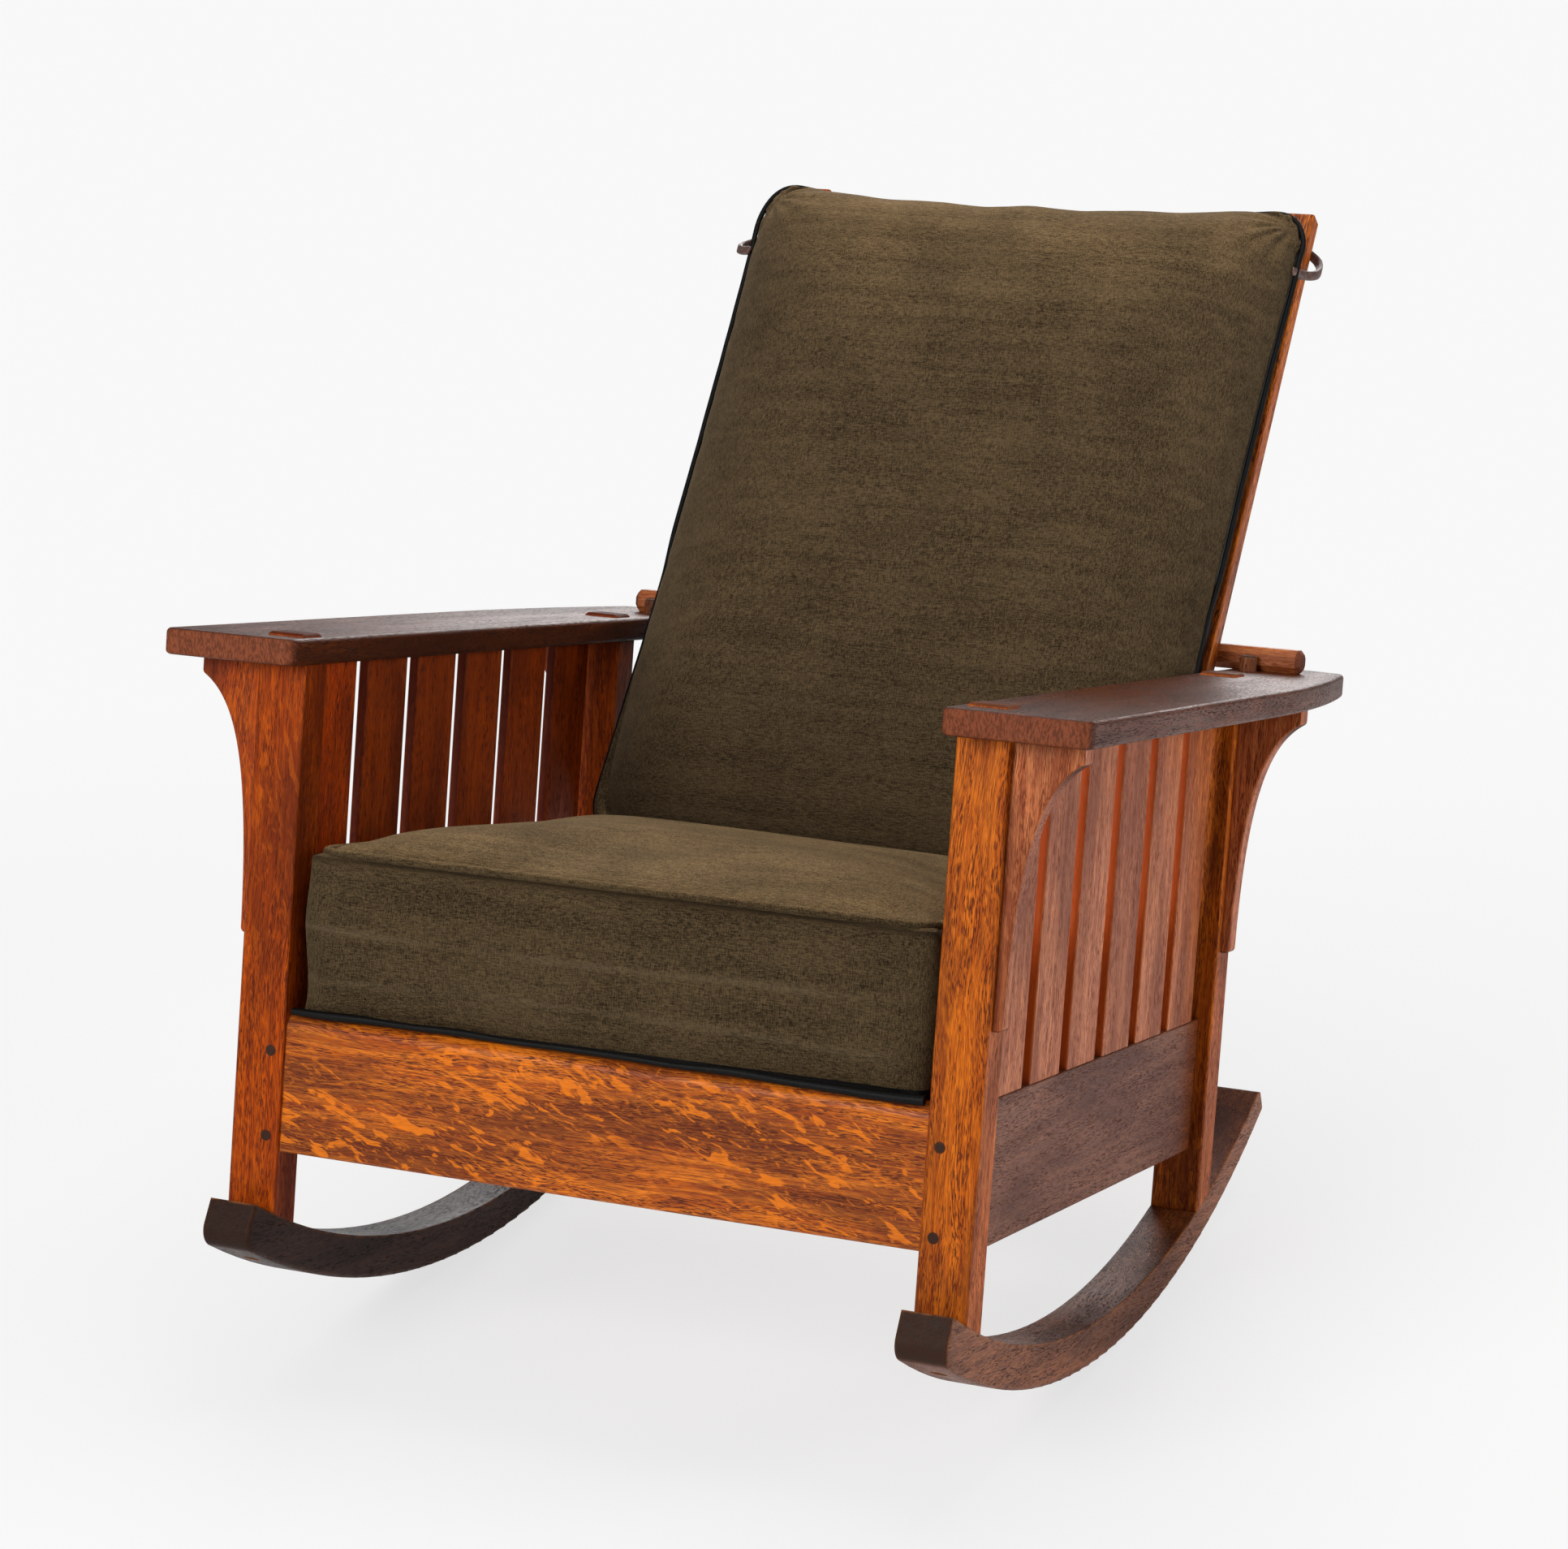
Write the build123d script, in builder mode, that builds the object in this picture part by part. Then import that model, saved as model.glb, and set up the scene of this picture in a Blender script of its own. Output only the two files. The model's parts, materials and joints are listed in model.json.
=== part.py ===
from build123d import *
import os
from math import asin, atan2, cos, radians, sin, sqrt, tan

# Mission rocking chair with a reclining back and loose cushions, in millimetres.
# Sizes are measured in the chair's own frame: x to the right, y back from the front face of
# the front legs, z up the legs from the lowest point of the rockers. The whole chair is then
# stood on a level floor, leaning back by the angle at which it balances on its rockers.

os.makedirs("parts", exist_ok=True)

# Angles in degrees
lean_angle = 10.83  # legs against the plumb line, with the chair at rest
recline_angle = 28.3  # back posts against the legs

# Legs
frame_width = 660  # over the outer faces of the legs
frame_depth = 643  # front face of the front legs to the back face of the rear legs
leg_width = 44
leg_depth = 37
leg_height = 553.5  # from the rockers' lowest point to the arms
leg_edge = 1.5

# Tenons of the legs, up through the arms
tenon_width = 33
tenon_depth = 30
tenon_proud = 3
tenon_bevel = 2

# Arms
arm_width = 123
arm_lap = 4  # from the legs' inner faces in to the arms' inner edges
arm_thickness = 22
arm_front = 31  # ahead of the front legs
arm_curve = 326  # how long the curve of the outer edge is, at the rear
arm_narrowing = 32  # what the curve takes off the width
arm_tail = 39  # behind the rear pegs, along the outer edge
arm_slant = 18  # how much further back the inner rear corner lies
arm_front_corner = 10
arm_rear_corner = 14
arm_edge = 4

# Corbels
corbel_reach = 58
corbel_drop = 228
corbel_thickness = 19.6
corbel_lip = 15
corbel_toe = 8.1
corbel_corner = 4
corbel_edge = 1
corbel_reach_shares = (0.408, 0.161)  # control points of the sweep, as shares of the reach
corbel_drop_shares = (0.152, 0.393)  # and of the drop
corbel_heel_share = 0.956

# Front and rear rails
rail_bottom = 147
rail_height = 116
rail_thickness = 24
rail_setback = 4.2  # behind the legs' outer face
rail_round = 12
rail_edge = 1.5
rail_tenon = 28
rail_tenon_thickness = 10
rail_shoulder = 6

# Pins that lock the rail tenons
leg_pin_radius = 4.5
leg_pin_inset = 11.5  # from the legs' inner face
leg_pin_past = 1.3  # beyond the tenon
leg_pin_top = 31.5  # below the rails' top
leg_pin_bottom = 13  # above the rails' bottom

# Side rails
side_rail_bottom = 144
side_rail_height = 120
side_rail_thickness = 22
side_rail_setback = 12.4  # inside the legs' outer face
side_tenon = 12

# Slats under the arms
slat_count = 6
slat_width = 71.2
slat_thickness = 9
slat_setback = 1  # inside the side rails' outer face
slat_foot = 10  # held in the side rail
slat_head = 8  # held in the arm
slat_edge = 0.8

# Rockers
rocker_radius = 866
rocker_low_share = 0.4743  # the lowest point, as a share of the frame's depth
rocker_toe = 44.5  # ahead of the front legs
rocker_heel = 157.5  # behind the rear legs
rocker_toe_height = 37
rocker_height = 35
rocker_heel_height = 26
rocker_nose = 16
rocker_edge = 2.5
rocker_bevel = 4

# Screws up through the rockers into the legs
screw_inset = 8  # from the legs' outer face
screw_length = 65
screw_radius = 2.5
screw_head_radius = 5.5
screw_head_height = 4
screw_slot_width = 1.4
screw_slot_depth = 1.5
screw_recess_radius = 7
screw_recess_depth = 9

# Seat deck
cleat_width = 20
cleat_height = 20
cleat_front = 38
cleat_rear_gap = 2  # to the pivot pins' collars
board_count = 5
board_thickness = 12
board_gap = 10
board_front = 40
board_rear_gap = 17  # from the last board to the pivot
board_side_gap = 1.6
board_edge = 1.5

# Back frame: posts, ladder slats and the pivot
pivot_ahead = 89  # of the rear legs
pivot_height = 223.5
post_side_gap = 9  # from the posts to the arms' inner edges
post_width = 40
post_thickness = 20
post_length = 884.6  # above the pivot
post_foot = 30  # below the pivot
post_top_round = 12
post_foot_round = 8
post_edge = 1.5
back_slat_count = 5
back_slat_width = 56
back_slat_thickness = 10
back_slat_tenon = 12
back_slat_low = 70  # first slat's middle above the pivot
back_slat_high = 97  # last slat's middle below the posts' top
back_slat_edge = 2
pivot_pin_radius = 6
pivot_pin_seat = 16  # held in the side rail
collar_radius = 15
collar_edge = 1

# Bar behind the back, and its pegs
bar_left_lap = 46  # beyond the arms' inner edges, the loose bar lying a little to the right
bar_right_lap = 68
bar_depth = 26
bar_height = 22
bar_bevel = 6
bar_end_bevel = 4
peg_radius = 8
peg_proud = 14.3
peg_round = 3
peg_inset = 22  # from the arms' inner edge
peg_front_gap = 0.5
peg_rear_gap = 6

# Both cushions are closed shells, so that each weighs what a light filling and its cover do
seat_wall = 12
pillow_wall = 8

# Seat cushion
seat_front = 3
seat_rear_gap = 9  # from the cushion to the pivot
seat_height = 137  # at the front seam
seat_fall = 15  # how much lower the rear seam is
seat_side_gap = 2
seat_corner = 22
seat_draw = 5  # how far the sides pull in between the corners
seat_foot_tuck = 4
seat_seam_tuck = 2
seat_crown = 28
seat_crown_shares = (0, 0.36, 0.8, 1)  # height of each outline of the crown
seat_front_tuck_shares = (0, 0.06, 0.18, 0.335)  # how far it lies inside the seam, of the length
seat_rear_tuck_shares = (0, 0.16, 0.32, 0.475)
seat_side_tuck_shares = (0, 0.14, 0.39, 0.67)  # of the half width

# Back cushion
pillow_side_gap = 1.2  # inside the arms' inner edges
pillow_top_gap = 31  # below the posts' top
pillow_sink = 37  # of its lower edge, below the level of the seat cushion's rear seam
pillow_thickness = 115
pillow_rear_tuck = 1.5
pillow_seam = 38  # forward of its rear face, where it is widest
pillow_front_shares = (0, 0.32, 0.62, 0.88, 1)  # outlines of the front, from the seam forward
pillow_side_tucks = (0, 12, 34, 85, 160)  # and how far each lies inside the seam
pillow_top_tucks = (0, 5, 24, 75, 160)
pillow_foot_tucks = (0, 1, 5, 25, 120)
pillow_corner = 32
pillow_draw = 6

# Leather loops that hold the back cushion to the posts
loop_radius = 5
loop_slack = 32  # behind the posts
loop_bend = 20

# Clearances
fit = 0.1  # tenons, slats and pins in their holes
running = 0.25  # post bores round the pivot pins
side_play = 0.4  # posts against the pins' collars
soft_gap = 0.3  # between a cushion and what it lies against
post_gap = 0.3  # posts against the bar
loop_gap = 1  # between the loops and the posts, and above the last slat
overrun = 5  # what a cut runs past the surface

# Worked out from the sizes above
lean = radians(lean_angle)
recline = radians(recline_angle)
leg_outer = frame_width / 2
leg_inner = leg_outer - leg_width
leg_middle = leg_outer - leg_width / 2
arm_inner = leg_inner - arm_lap
arm_outer = arm_inner + arm_width
arm_top = leg_height + arm_thickness
deck_top = rail_bottom + rail_height
side_rail_outer = leg_outer - side_rail_setback
side_rail_middle = side_rail_outer - side_rail_thickness / 2
side_rail_inner = side_rail_outer - side_rail_thickness
side_rail_top = side_rail_bottom + side_rail_height
side_rail_length = frame_depth - 2 * leg_depth
slat_middle = side_rail_outer - slat_setback - slat_thickness / 2
pivot_back = frame_depth - leg_depth - pivot_ahead
deck_rear = pivot_back - board_rear_gap
board_width = (deck_rear - board_front - (board_count - 1) * board_gap) / board_count
post_outer = arm_inner - post_side_gap
post_middle = post_outer - post_width / 2
post_inner = post_outer - post_width
rocker_low = frame_depth * rocker_low_share
seat_length = pivot_back - seat_rear_gap - seat_front
seat_base = deck_top + soft_gap
seat_half = leg_inner - seat_side_gap
pillow_half = arm_inner - pillow_side_gap
pillow_rear = post_thickness / 2 + soft_gap
pillow_foot = (seat_base + seat_height - seat_fall - pivot_height) / cos(recline) - pillow_sink
pillow_top = post_length - pillow_top_gap

# The bar lies where the posts' rear faces meet the upper edge of its front face.
bar_touch = arm_top + bar_height - bar_bevel
bar_front = (
    pivot_back
    + (post_thickness / 2 + post_gap) / cos(recline)
    + (bar_touch - pivot_height) * tan(recline)
)
peg_front = bar_front - peg_front_gap - peg_radius
peg_rear = bar_front + bar_depth + peg_rear_gap + peg_radius
peg_middle = arm_inner + peg_inset
arm_rear = peg_rear + arm_tail
arm_straight = arm_rear - arm_curve

# Ends of the rockers, as angles about the middle of their circle
toe_angle = asin((rocker_low + rocker_toe) / rocker_radius)
heel_angle = asin((frame_depth - rocker_low + rocker_heel) / rocker_radius)


def rocker_point(angle, height):
    """Point of a rocker's side, as (y, z), at a height above its running curve."""
    reach = rocker_radius - height
    return (rocker_low + reach * sin(angle), rocker_radius - reach * cos(angle))


toe_under = rocker_point(-toe_angle, 0)
low_under = rocker_point(0, 0)
heel_under = rocker_point(heel_angle, 0)
toe_over = rocker_point(-toe_angle, rocker_toe_height)
low_over = rocker_point((heel_angle - toe_angle) / 2, rocker_height)
heel_over = rocker_point(heel_angle, rocker_heel_height)

# The chair's frame on the floor: the rockers touch it, and the box is centred front to back.
post_tip_back = pivot_back + post_length * sin(recline) + post_thickness / 2 * cos(recline)
post_tip_up = pivot_height + post_length * cos(recline) - post_thickness / 2 * sin(recline)
front_end = toe_under[0] * cos(lean) + toe_under[1] * sin(lean)
rear_end = post_tip_back * cos(lean) + post_tip_up * sin(lean)
chair_up = rocker_radius - rocker_radius * cos(lean) + rocker_low * sin(lean)
chair = Plane(
    origin=(0, -(front_end + rear_end) / 2, chair_up),
    x_dir=(1, 0, 0),
    z_dir=(0, sin(lean), cos(lean)),
)
up_the_legs = Axis(chair.origin, chair.z_dir)
to_the_back = Axis(chair.origin, chair.y_dir)
to_the_right = Axis(chair.origin, chair.x_dir)
up_the_posts = chair.y_dir * sin(recline) + chair.z_dir * cos(recline)
ahead_of_posts = chair.z_dir * sin(recline) - chair.y_dir * cos(recline)


def place(x, y, z):
    """Point of the chair's frame, where it lies on the floor's axes."""
    return chair.from_local_coords(Vector(x, y, z))


def level(z):
    """Sketch plane square to the legs: x right, y back."""
    return Plane(place(0, 0, z), x_dir=chair.x_dir, z_dir=chair.z_dir)


def facing(y):
    """Sketch plane seen from the front: x right, y up."""
    return Plane(place(0, y, 0), x_dir=chair.x_dir, z_dir=-chair.y_dir)


def beside(x):
    """Sketch plane seen from the right: x back, y up."""
    return Plane(place(x, 0, 0), x_dir=chair.y_dir, z_dir=chair.x_dir)


def along_back(ahead):
    """Sketch plane of the back frame: x right, y up the posts from the pivot."""
    pivot = place(0, pivot_back, pivot_height)
    return Plane(pivot + ahead_of_posts * ahead, x_dir=chair.x_dir, z_dir=ahead_of_posts)


def depth_at(end, inset):
    """How far back a point lies that is inset from the frame's front or rear face."""
    return inset if end == "front" else frame_depth - inset


def block(x, y, z, width, depth, height, mode=Mode.ADD):
    """Block centred on x and y that rises from z, in the current part."""
    with BuildSketch(level(z)) as plan:
        with Locations((x, y)):
            Rectangle(width, depth)
    extrude(plan.sketch, amount=height, mode=mode)


def rod(x, y, z, radius, height, mode=Mode.ADD):
    """Upright rod that rises from z, in the current part."""
    with BuildSketch(level(z)) as plan:
        with Locations((x, y)):
            Circle(radius)
    extrude(plan.sketch, amount=height, mode=mode)


def pin_across(end, inset, radius, length, mode=Mode.ADD):
    """The two rods that run into one end's legs from their outer face, on each side."""
    inward = -length if end == "front" else length
    with BuildSketch(facing(depth_at(end, inset))) as rings:
        for pin_z in leg_pin_heights:
            with Locations((-leg_pin_x, pin_z), (leg_pin_x, pin_z)):
                Circle(radius)
    extrude(rings.sketch, amount=inward, mode=mode)


sides = ((-1, "left"), (1, "right"))
ends = ("front", "rear")
leg_pin_x = leg_inner + leg_pin_inset
leg_pin_heights = (rail_bottom + leg_pin_bottom, deck_top - leg_pin_top)
rail_middle = rail_setback + rail_thickness / 2
rail_tenon_height = rail_height - 2 * rail_shoulder
leg_pin_length = rail_middle + rail_tenon_thickness / 2 + leg_pin_past
side_tenon_height = side_rail_height - 2 * rail_shoulder
slat_gap = (side_rail_length - slat_count * slat_width) / (slat_count + 1)
slat_backs = [
    leg_depth + slat_gap + slat_width / 2 + step * (slat_width + slat_gap)
    for step in range(slat_count)
]


def screw_floor(end):
    """Height of the screw recess's floor above the rockers' lowest point."""
    offset = depth_at(end, screw_inset) - rocker_low
    return rocker_radius - sqrt(rocker_radius**2 - offset**2) + screw_recess_depth


def rail_mortises(end, side):
    """Mortises for the front or rear rail and the side rail, cut in the current leg."""
    block(
        side * (leg_inner + (rail_tenon + fit - overrun) / 2),
        depth_at(end, rail_middle),
        rail_bottom + rail_shoulder - fit,
        rail_tenon + fit + overrun,
        rail_tenon_thickness + 2 * fit,
        rail_tenon_height + 2 * fit,
        Mode.SUBTRACT,
    )
    block(
        side * side_rail_middle,
        depth_at(end, leg_depth - (side_tenon + fit - overrun) / 2),
        side_rail_bottom + rail_shoulder - fit,
        rail_tenon_thickness + 2 * fit,
        side_tenon + fit + overrun,
        side_tenon_height + 2 * fit,
        Mode.SUBTRACT,
    )


# Legs, their feet cut to the curve of the rockers
for end in ends:
    for side, hand in sides:
        leg_back = depth_at(end, leg_depth / 2)
        with BuildPart() as leg:
            with BuildSketch(beside(side * leg_middle - leg_width / 2)):
                with Locations((leg_back, leg_height / 2)):
                    Rectangle(leg_depth, leg_height)
                with BuildLine():
                    ThreePointArc(toe_over, low_over, heel_over)
                    Polyline(heel_over, (heel_over[0], arm_top), (toe_over[0], arm_top), toe_over)
                make_face(mode=Mode.INTERSECT)
            extrude(amount=leg_width)
            chamfer(leg.edges().filter_by(up_the_legs), leg_edge)
            block(side * leg_middle, leg_back, leg_height, tenon_width, tenon_depth, arm_thickness + tenon_proud)
            chamfer(leg.faces().sort_by(up_the_legs)[-1].edges(), tenon_bevel)
            rail_mortises(end, side)
            pin_across(end, -overrun, leg_pin_radius + fit, leg_pin_length + overrun + fit, Mode.SUBTRACT)
            rod(
                side * leg_middle,
                depth_at(end, screw_inset),
                screw_floor(end) - screw_recess_depth,
                screw_radius + fit,
                screw_recess_depth + screw_length + fit,
                Mode.SUBTRACT,
            )
        leg.part.label = f"{end}_leg_{hand}"
        export_step(leg.part, f"parts/{leg.part.label}.step")

# Arms
for side, hand in sides:
    tail_outer = arm_outer - arm_narrowing
    with BuildPart() as arm:
        with BuildSketch(level(leg_height)) as arm_plan:
            with BuildLine():
                Polyline(
                    (side * tail_outer, arm_rear),
                    (side * arm_inner, arm_rear + arm_slant),
                    (side * arm_inner, -arm_front),
                    (side * arm_outer, -arm_front),
                    (side * arm_outer, arm_straight),
                )
                TangentArc((side * arm_outer, arm_straight), (side * tail_outer, arm_rear), tangent=(0, 1))
            make_face()
            fillet(arm_plan.vertices().group_by(Axis.Y)[0], arm_front_corner)
            fillet(arm_plan.vertices().sort_by(Axis.Y)[-2:], arm_rear_corner)
        extrude(amount=arm_thickness)
        arm_faces = arm.faces().sort_by(up_the_legs)
        fillet(arm_faces[0].edges() + arm_faces[-1].edges(), arm_edge)
        for end in ends:
            block(
                side * leg_middle,
                depth_at(end, leg_depth / 2),
                leg_height - overrun,
                tenon_width + 2 * fit,
                tenon_depth + 2 * fit,
                arm_thickness + 2 * overrun,
                Mode.SUBTRACT,
            )
        for slat_back in slat_backs:
            block(
                side * slat_middle,
                slat_back,
                leg_height - overrun,
                slat_thickness + 2 * fit,
                slat_width + 2 * fit,
                slat_head + fit + overrun,
                Mode.SUBTRACT,
            )
        for peg_back in (peg_front, peg_rear):
            rod(
                side * peg_middle,
                peg_back,
                leg_height - overrun,
                peg_radius + fit,
                arm_thickness + 2 * overrun,
                Mode.SUBTRACT,
            )
    arm.part.label = f"arm_{hand}"
    export_step(arm.part, f"parts/{arm.part.label}.step")

# Corbels, in the angle between each leg's outer face and the arm
sweep_points = [
    (leg_outer + corbel_reach * reach, leg_height - corbel_drop * drop)
    for reach, drop in zip(corbel_reach_shares, corbel_drop_shares)
]
for end in ends:
    for side, hand in sides:
        lip_point = (side * (leg_outer + corbel_reach), leg_height - corbel_lip)
        heel_point = (side * (leg_outer + corbel_toe), leg_height - corbel_drop * corbel_heel_share)
        foot_point = (side * (leg_outer + corbel_toe), leg_height - corbel_drop)
        controls = [(side * x, z) for x, z in sweep_points]
        with BuildPart() as corbel:
            with BuildSketch(facing(depth_at(end, leg_depth / 2))) as corbel_side:
                with BuildLine():
                    Polyline(
                        heel_point,
                        foot_point,
                        (side * leg_outer, leg_height - corbel_drop),
                        (side * leg_outer, leg_height),
                        (side * (leg_outer + corbel_reach), leg_height),
                        lip_point,
                    )
                    Bezier(lip_point, *controls, heel_point)
                make_face()
                corners = corbel_side.vertices().sort_by_distance(Vector(*lip_point))[:1]
                corners += corbel_side.vertices().sort_by_distance(Vector(*foot_point))[:1]
                fillet(corners, corbel_corner)
            extrude(amount=corbel_thickness / 2, both=True)
            outer_edges = corbel.edges().filter_by(GeomType.BEZIER)
            chamfer(outer_edges, corbel_edge)
        corbel.part.label = f"{end}_corbel_{hand}"
        export_step(corbel.part, f"parts/{corbel.part.label}.step")

# Front and rear rails
for end in ends:
    rail_back = depth_at(end, rail_middle)
    with BuildPart() as rail:
        block(0, rail_back, rail_bottom, 2 * leg_inner, rail_thickness, rail_height)
        long_edges = rail.edges().filter_by(to_the_right).sort_by(up_the_legs)
        outer_order = to_the_back if end == "front" else to_the_back.reverse()
        fillet(long_edges[2:].sort_by(outer_order)[0], rail_round)
        lower_edges = rail.edges().filter_by(to_the_right).sort_by(up_the_legs)[:2]
        chamfer(lower_edges, rail_edge)
        block(
            0,
            rail_back,
            rail_bottom + rail_shoulder,
            2 * (leg_inner + rail_tenon),
            rail_tenon_thickness,
            rail_tenon_height,
        )
        pin_across(end, -overrun, leg_pin_radius + fit, frame_depth / 2, Mode.SUBTRACT)
    rail.part.label = f"{end}_rail"
    export_step(rail.part, f"parts/{rail.part.label}.step")

# Side rails, grooved on top for the slats and bored for the back's pivot pins
for side, hand in sides:
    with BuildPart() as side_rail:
        block(
            side * side_rail_middle,
            frame_depth / 2,
            side_rail_bottom,
            side_rail_thickness,
            side_rail_length,
            side_rail_height,
        )
        chamfer(side_rail.edges().filter_by(to_the_back), rail_edge / 2)
        block(
            side * side_rail_middle,
            frame_depth / 2,
            side_rail_bottom + rail_shoulder,
            rail_tenon_thickness,
            side_rail_length + 2 * side_tenon,
            side_tenon_height,
        )
        for slat_back in slat_backs:
            block(
                side * slat_middle,
                slat_back,
                side_rail_top - slat_foot - fit,
                slat_thickness + 2 * fit,
                slat_width + 2 * fit,
                slat_foot + overrun,
                Mode.SUBTRACT,
            )
        with BuildSketch(beside(side * (side_rail_inner - overrun))):
            with Locations((pivot_back, pivot_height)):
                Circle(pivot_pin_radius + fit)
        extrude(amount=side * (overrun + pivot_pin_seat + fit), mode=Mode.SUBTRACT)
    side_rail.part.label = f"side_rail_{hand}"
    export_step(side_rail.part, f"parts/{side_rail.part.label}.step")

# Slats, each held in the side rail below and the arm above
slat_base = side_rail_top - slat_foot
slat_length = leg_height + slat_head - slat_base
for side, hand in sides:
    for number, slat_back in enumerate(slat_backs, start=1):
        with BuildPart() as slat:
            block(side * slat_middle, slat_back, slat_base, slat_thickness, slat_width, slat_length)
            chamfer(slat.edges().filter_by(up_the_legs), slat_edge)
        slat.part.label = f"slat_{hand}_{number}"
        export_step(slat.part, f"parts/{slat.part.label}.step")

# Rockers
for side, hand in sides:
    with BuildPart() as rocker:
        with BuildSketch(beside(side * leg_middle - leg_width / 2)) as rocker_side:
            with BuildLine():
                ThreePointArc(toe_under, low_under, heel_under)
                Line(heel_under, heel_over)
                ThreePointArc(heel_over, low_over, toe_over)
                Line(toe_over, toe_under)
            make_face()
            fillet(rocker_side.vertices().sort_by(Axis.X)[0], rocker_nose)
            chamfer(rocker_side.vertices().sort_by(Axis.X)[-2:], rocker_bevel)
        extrude(amount=leg_width)
        flanks = rocker.faces().sort_by(to_the_right)
        under_edges = [flank.edges().sort_by(SortBy.LENGTH)[-1] for flank in (flanks[0], flanks[-1])]
        fillet(under_edges, rocker_edge)
        for end in ends:
            screw_y = depth_at(end, screw_inset)
            recess_floor = screw_floor(end)
            rod(
                side * leg_middle,
                screw_y,
                recess_floor - screw_recess_depth - overrun,
                screw_recess_radius,
                screw_recess_depth + overrun,
                Mode.SUBTRACT,
            )
            rod(side * leg_middle, screw_y, recess_floor, screw_radius + fit, screw_length, Mode.SUBTRACT)
    rocker.part.label = f"rocker_{hand}"
    export_step(rocker.part, f"parts/{rocker.part.label}.step")

# Screws, each with its head in the rocker's recess and its shank in the leg
with BuildPart() as screws:
    for end in ends:
        for side, hand in sides:
            screw_y = depth_at(end, screw_inset)
            shank_base = screw_floor(end)
            rod(side * leg_middle, screw_y, shank_base - screw_head_height, screw_head_radius, screw_head_height)
            rod(side * leg_middle, screw_y, shank_base, screw_radius, screw_length)
            block(
                side * leg_middle,
                screw_y,
                shank_base - screw_head_height - overrun,
                2 * (screw_head_radius + overrun),
                screw_slot_width,
                overrun + screw_slot_depth,
                Mode.SUBTRACT,
            )
screws.part.label = "rocker_screws"
export_step(screws.part, "parts/rocker_screws.step")

# Pins through the tenons of the front and rear rails, flush with the legs
with BuildPart() as leg_pins:
    for end in ends:
        pin_across(end, 0, leg_pin_radius, leg_pin_length)
leg_pins.part.label = "leg_pins"
export_step(leg_pins.part, "parts/leg_pins.step")

# Cleats inside the side rails, and the seat boards on them
cleat_rear = pivot_back - collar_radius - cleat_rear_gap
for side, hand in sides:
    with BuildPart() as cleat:
        block(
            side * (side_rail_inner - cleat_width / 2),
            (cleat_front + cleat_rear) / 2,
            deck_top - board_thickness - cleat_height,
            cleat_width,
            cleat_rear - cleat_front,
            cleat_height,
        )
        chamfer(cleat.edges().filter_by(to_the_back).sort_by(up_the_legs)[:2], board_edge)
    cleat.part.label = f"seat_cleat_{hand}"
    export_step(cleat.part, f"parts/{cleat.part.label}.step")

for number in range(board_count):
    board_back = board_front + board_width / 2 + number * (board_width + board_gap)
    with BuildPart() as board:
        block(
            0,
            board_back,
            deck_top - board_thickness,
            2 * (side_rail_inner - board_side_gap),
            board_width,
            board_thickness,
        )
        chamfer(board.edges().filter_by(to_the_right).sort_by(up_the_legs)[2:], board_edge)
    board.part.label = f"seat_board_{number + 1}"
    export_step(board.part, f"parts/{board.part.label}.step")

# Back posts, swinging on the pivot pins
back_slat_step = (post_length - back_slat_high - back_slat_low) / (back_slat_count - 1)
back_slat_ups = [back_slat_low + number * back_slat_step for number in range(back_slat_count)]
for side, hand in sides:
    post_plane = Plane(
        place(side * post_middle - post_width / 2, pivot_back, pivot_height),
        x_dir=-ahead_of_posts,
        z_dir=chair.x_dir,
    )
    with BuildPart() as post:
        with BuildSketch(post_plane) as post_side:
            with Locations((0, (post_length - post_foot) / 2)):
                Rectangle(post_thickness, post_length + post_foot)
            corner_points = post_side.vertices().sort_by(Axis.Y)
            fillet(corner_points[:2], post_foot_round)
            fillet(corner_points[2:].sort_by(Axis.X)[-1], post_top_round)
        extrude(amount=post_width)
        post_axis = Axis(chair.origin, up_the_posts)
        chamfer(post.edges().filter_by(post_axis), post_edge)
        with BuildSketch(post_plane):
            Circle(pivot_pin_radius + running)
        extrude(amount=post_width, mode=Mode.SUBTRACT)
        with BuildSketch(along_back(-back_slat_thickness / 2 - fit)):
            for slat_up in back_slat_ups:
                with Locations((side * (post_inner + (back_slat_tenon + fit - overrun) / 2), slat_up)):
                    Rectangle(back_slat_tenon + fit + overrun, back_slat_width + 2 * fit)
        extrude(amount=back_slat_thickness + 2 * fit, mode=Mode.SUBTRACT)
    post.part.label = f"back_post_{hand}"
    export_step(post.part, f"parts/{post.part.label}.step")

# Ladder slats between the posts
for number, slat_up in enumerate(back_slat_ups, start=1):
    with BuildPart() as back_slat:
        with BuildSketch(along_back(-back_slat_thickness / 2)):
            with Locations((0, slat_up)):
                Rectangle(2 * post_inner, back_slat_width)
        extrude(amount=back_slat_thickness)
        fillet(back_slat.edges().filter_by(to_the_right), back_slat_edge)
        with BuildSketch(along_back(-back_slat_thickness / 2)):
            slat_end = post_inner + back_slat_tenon / 2
            with Locations((-slat_end, slat_up), (slat_end, slat_up)):
                Rectangle(back_slat_tenon, back_slat_width)
        extrude(amount=back_slat_thickness)
    back_slat.part.label = f"back_slat_{number}"
    export_step(back_slat.part, f"parts/{back_slat.part.label}.step")

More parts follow.
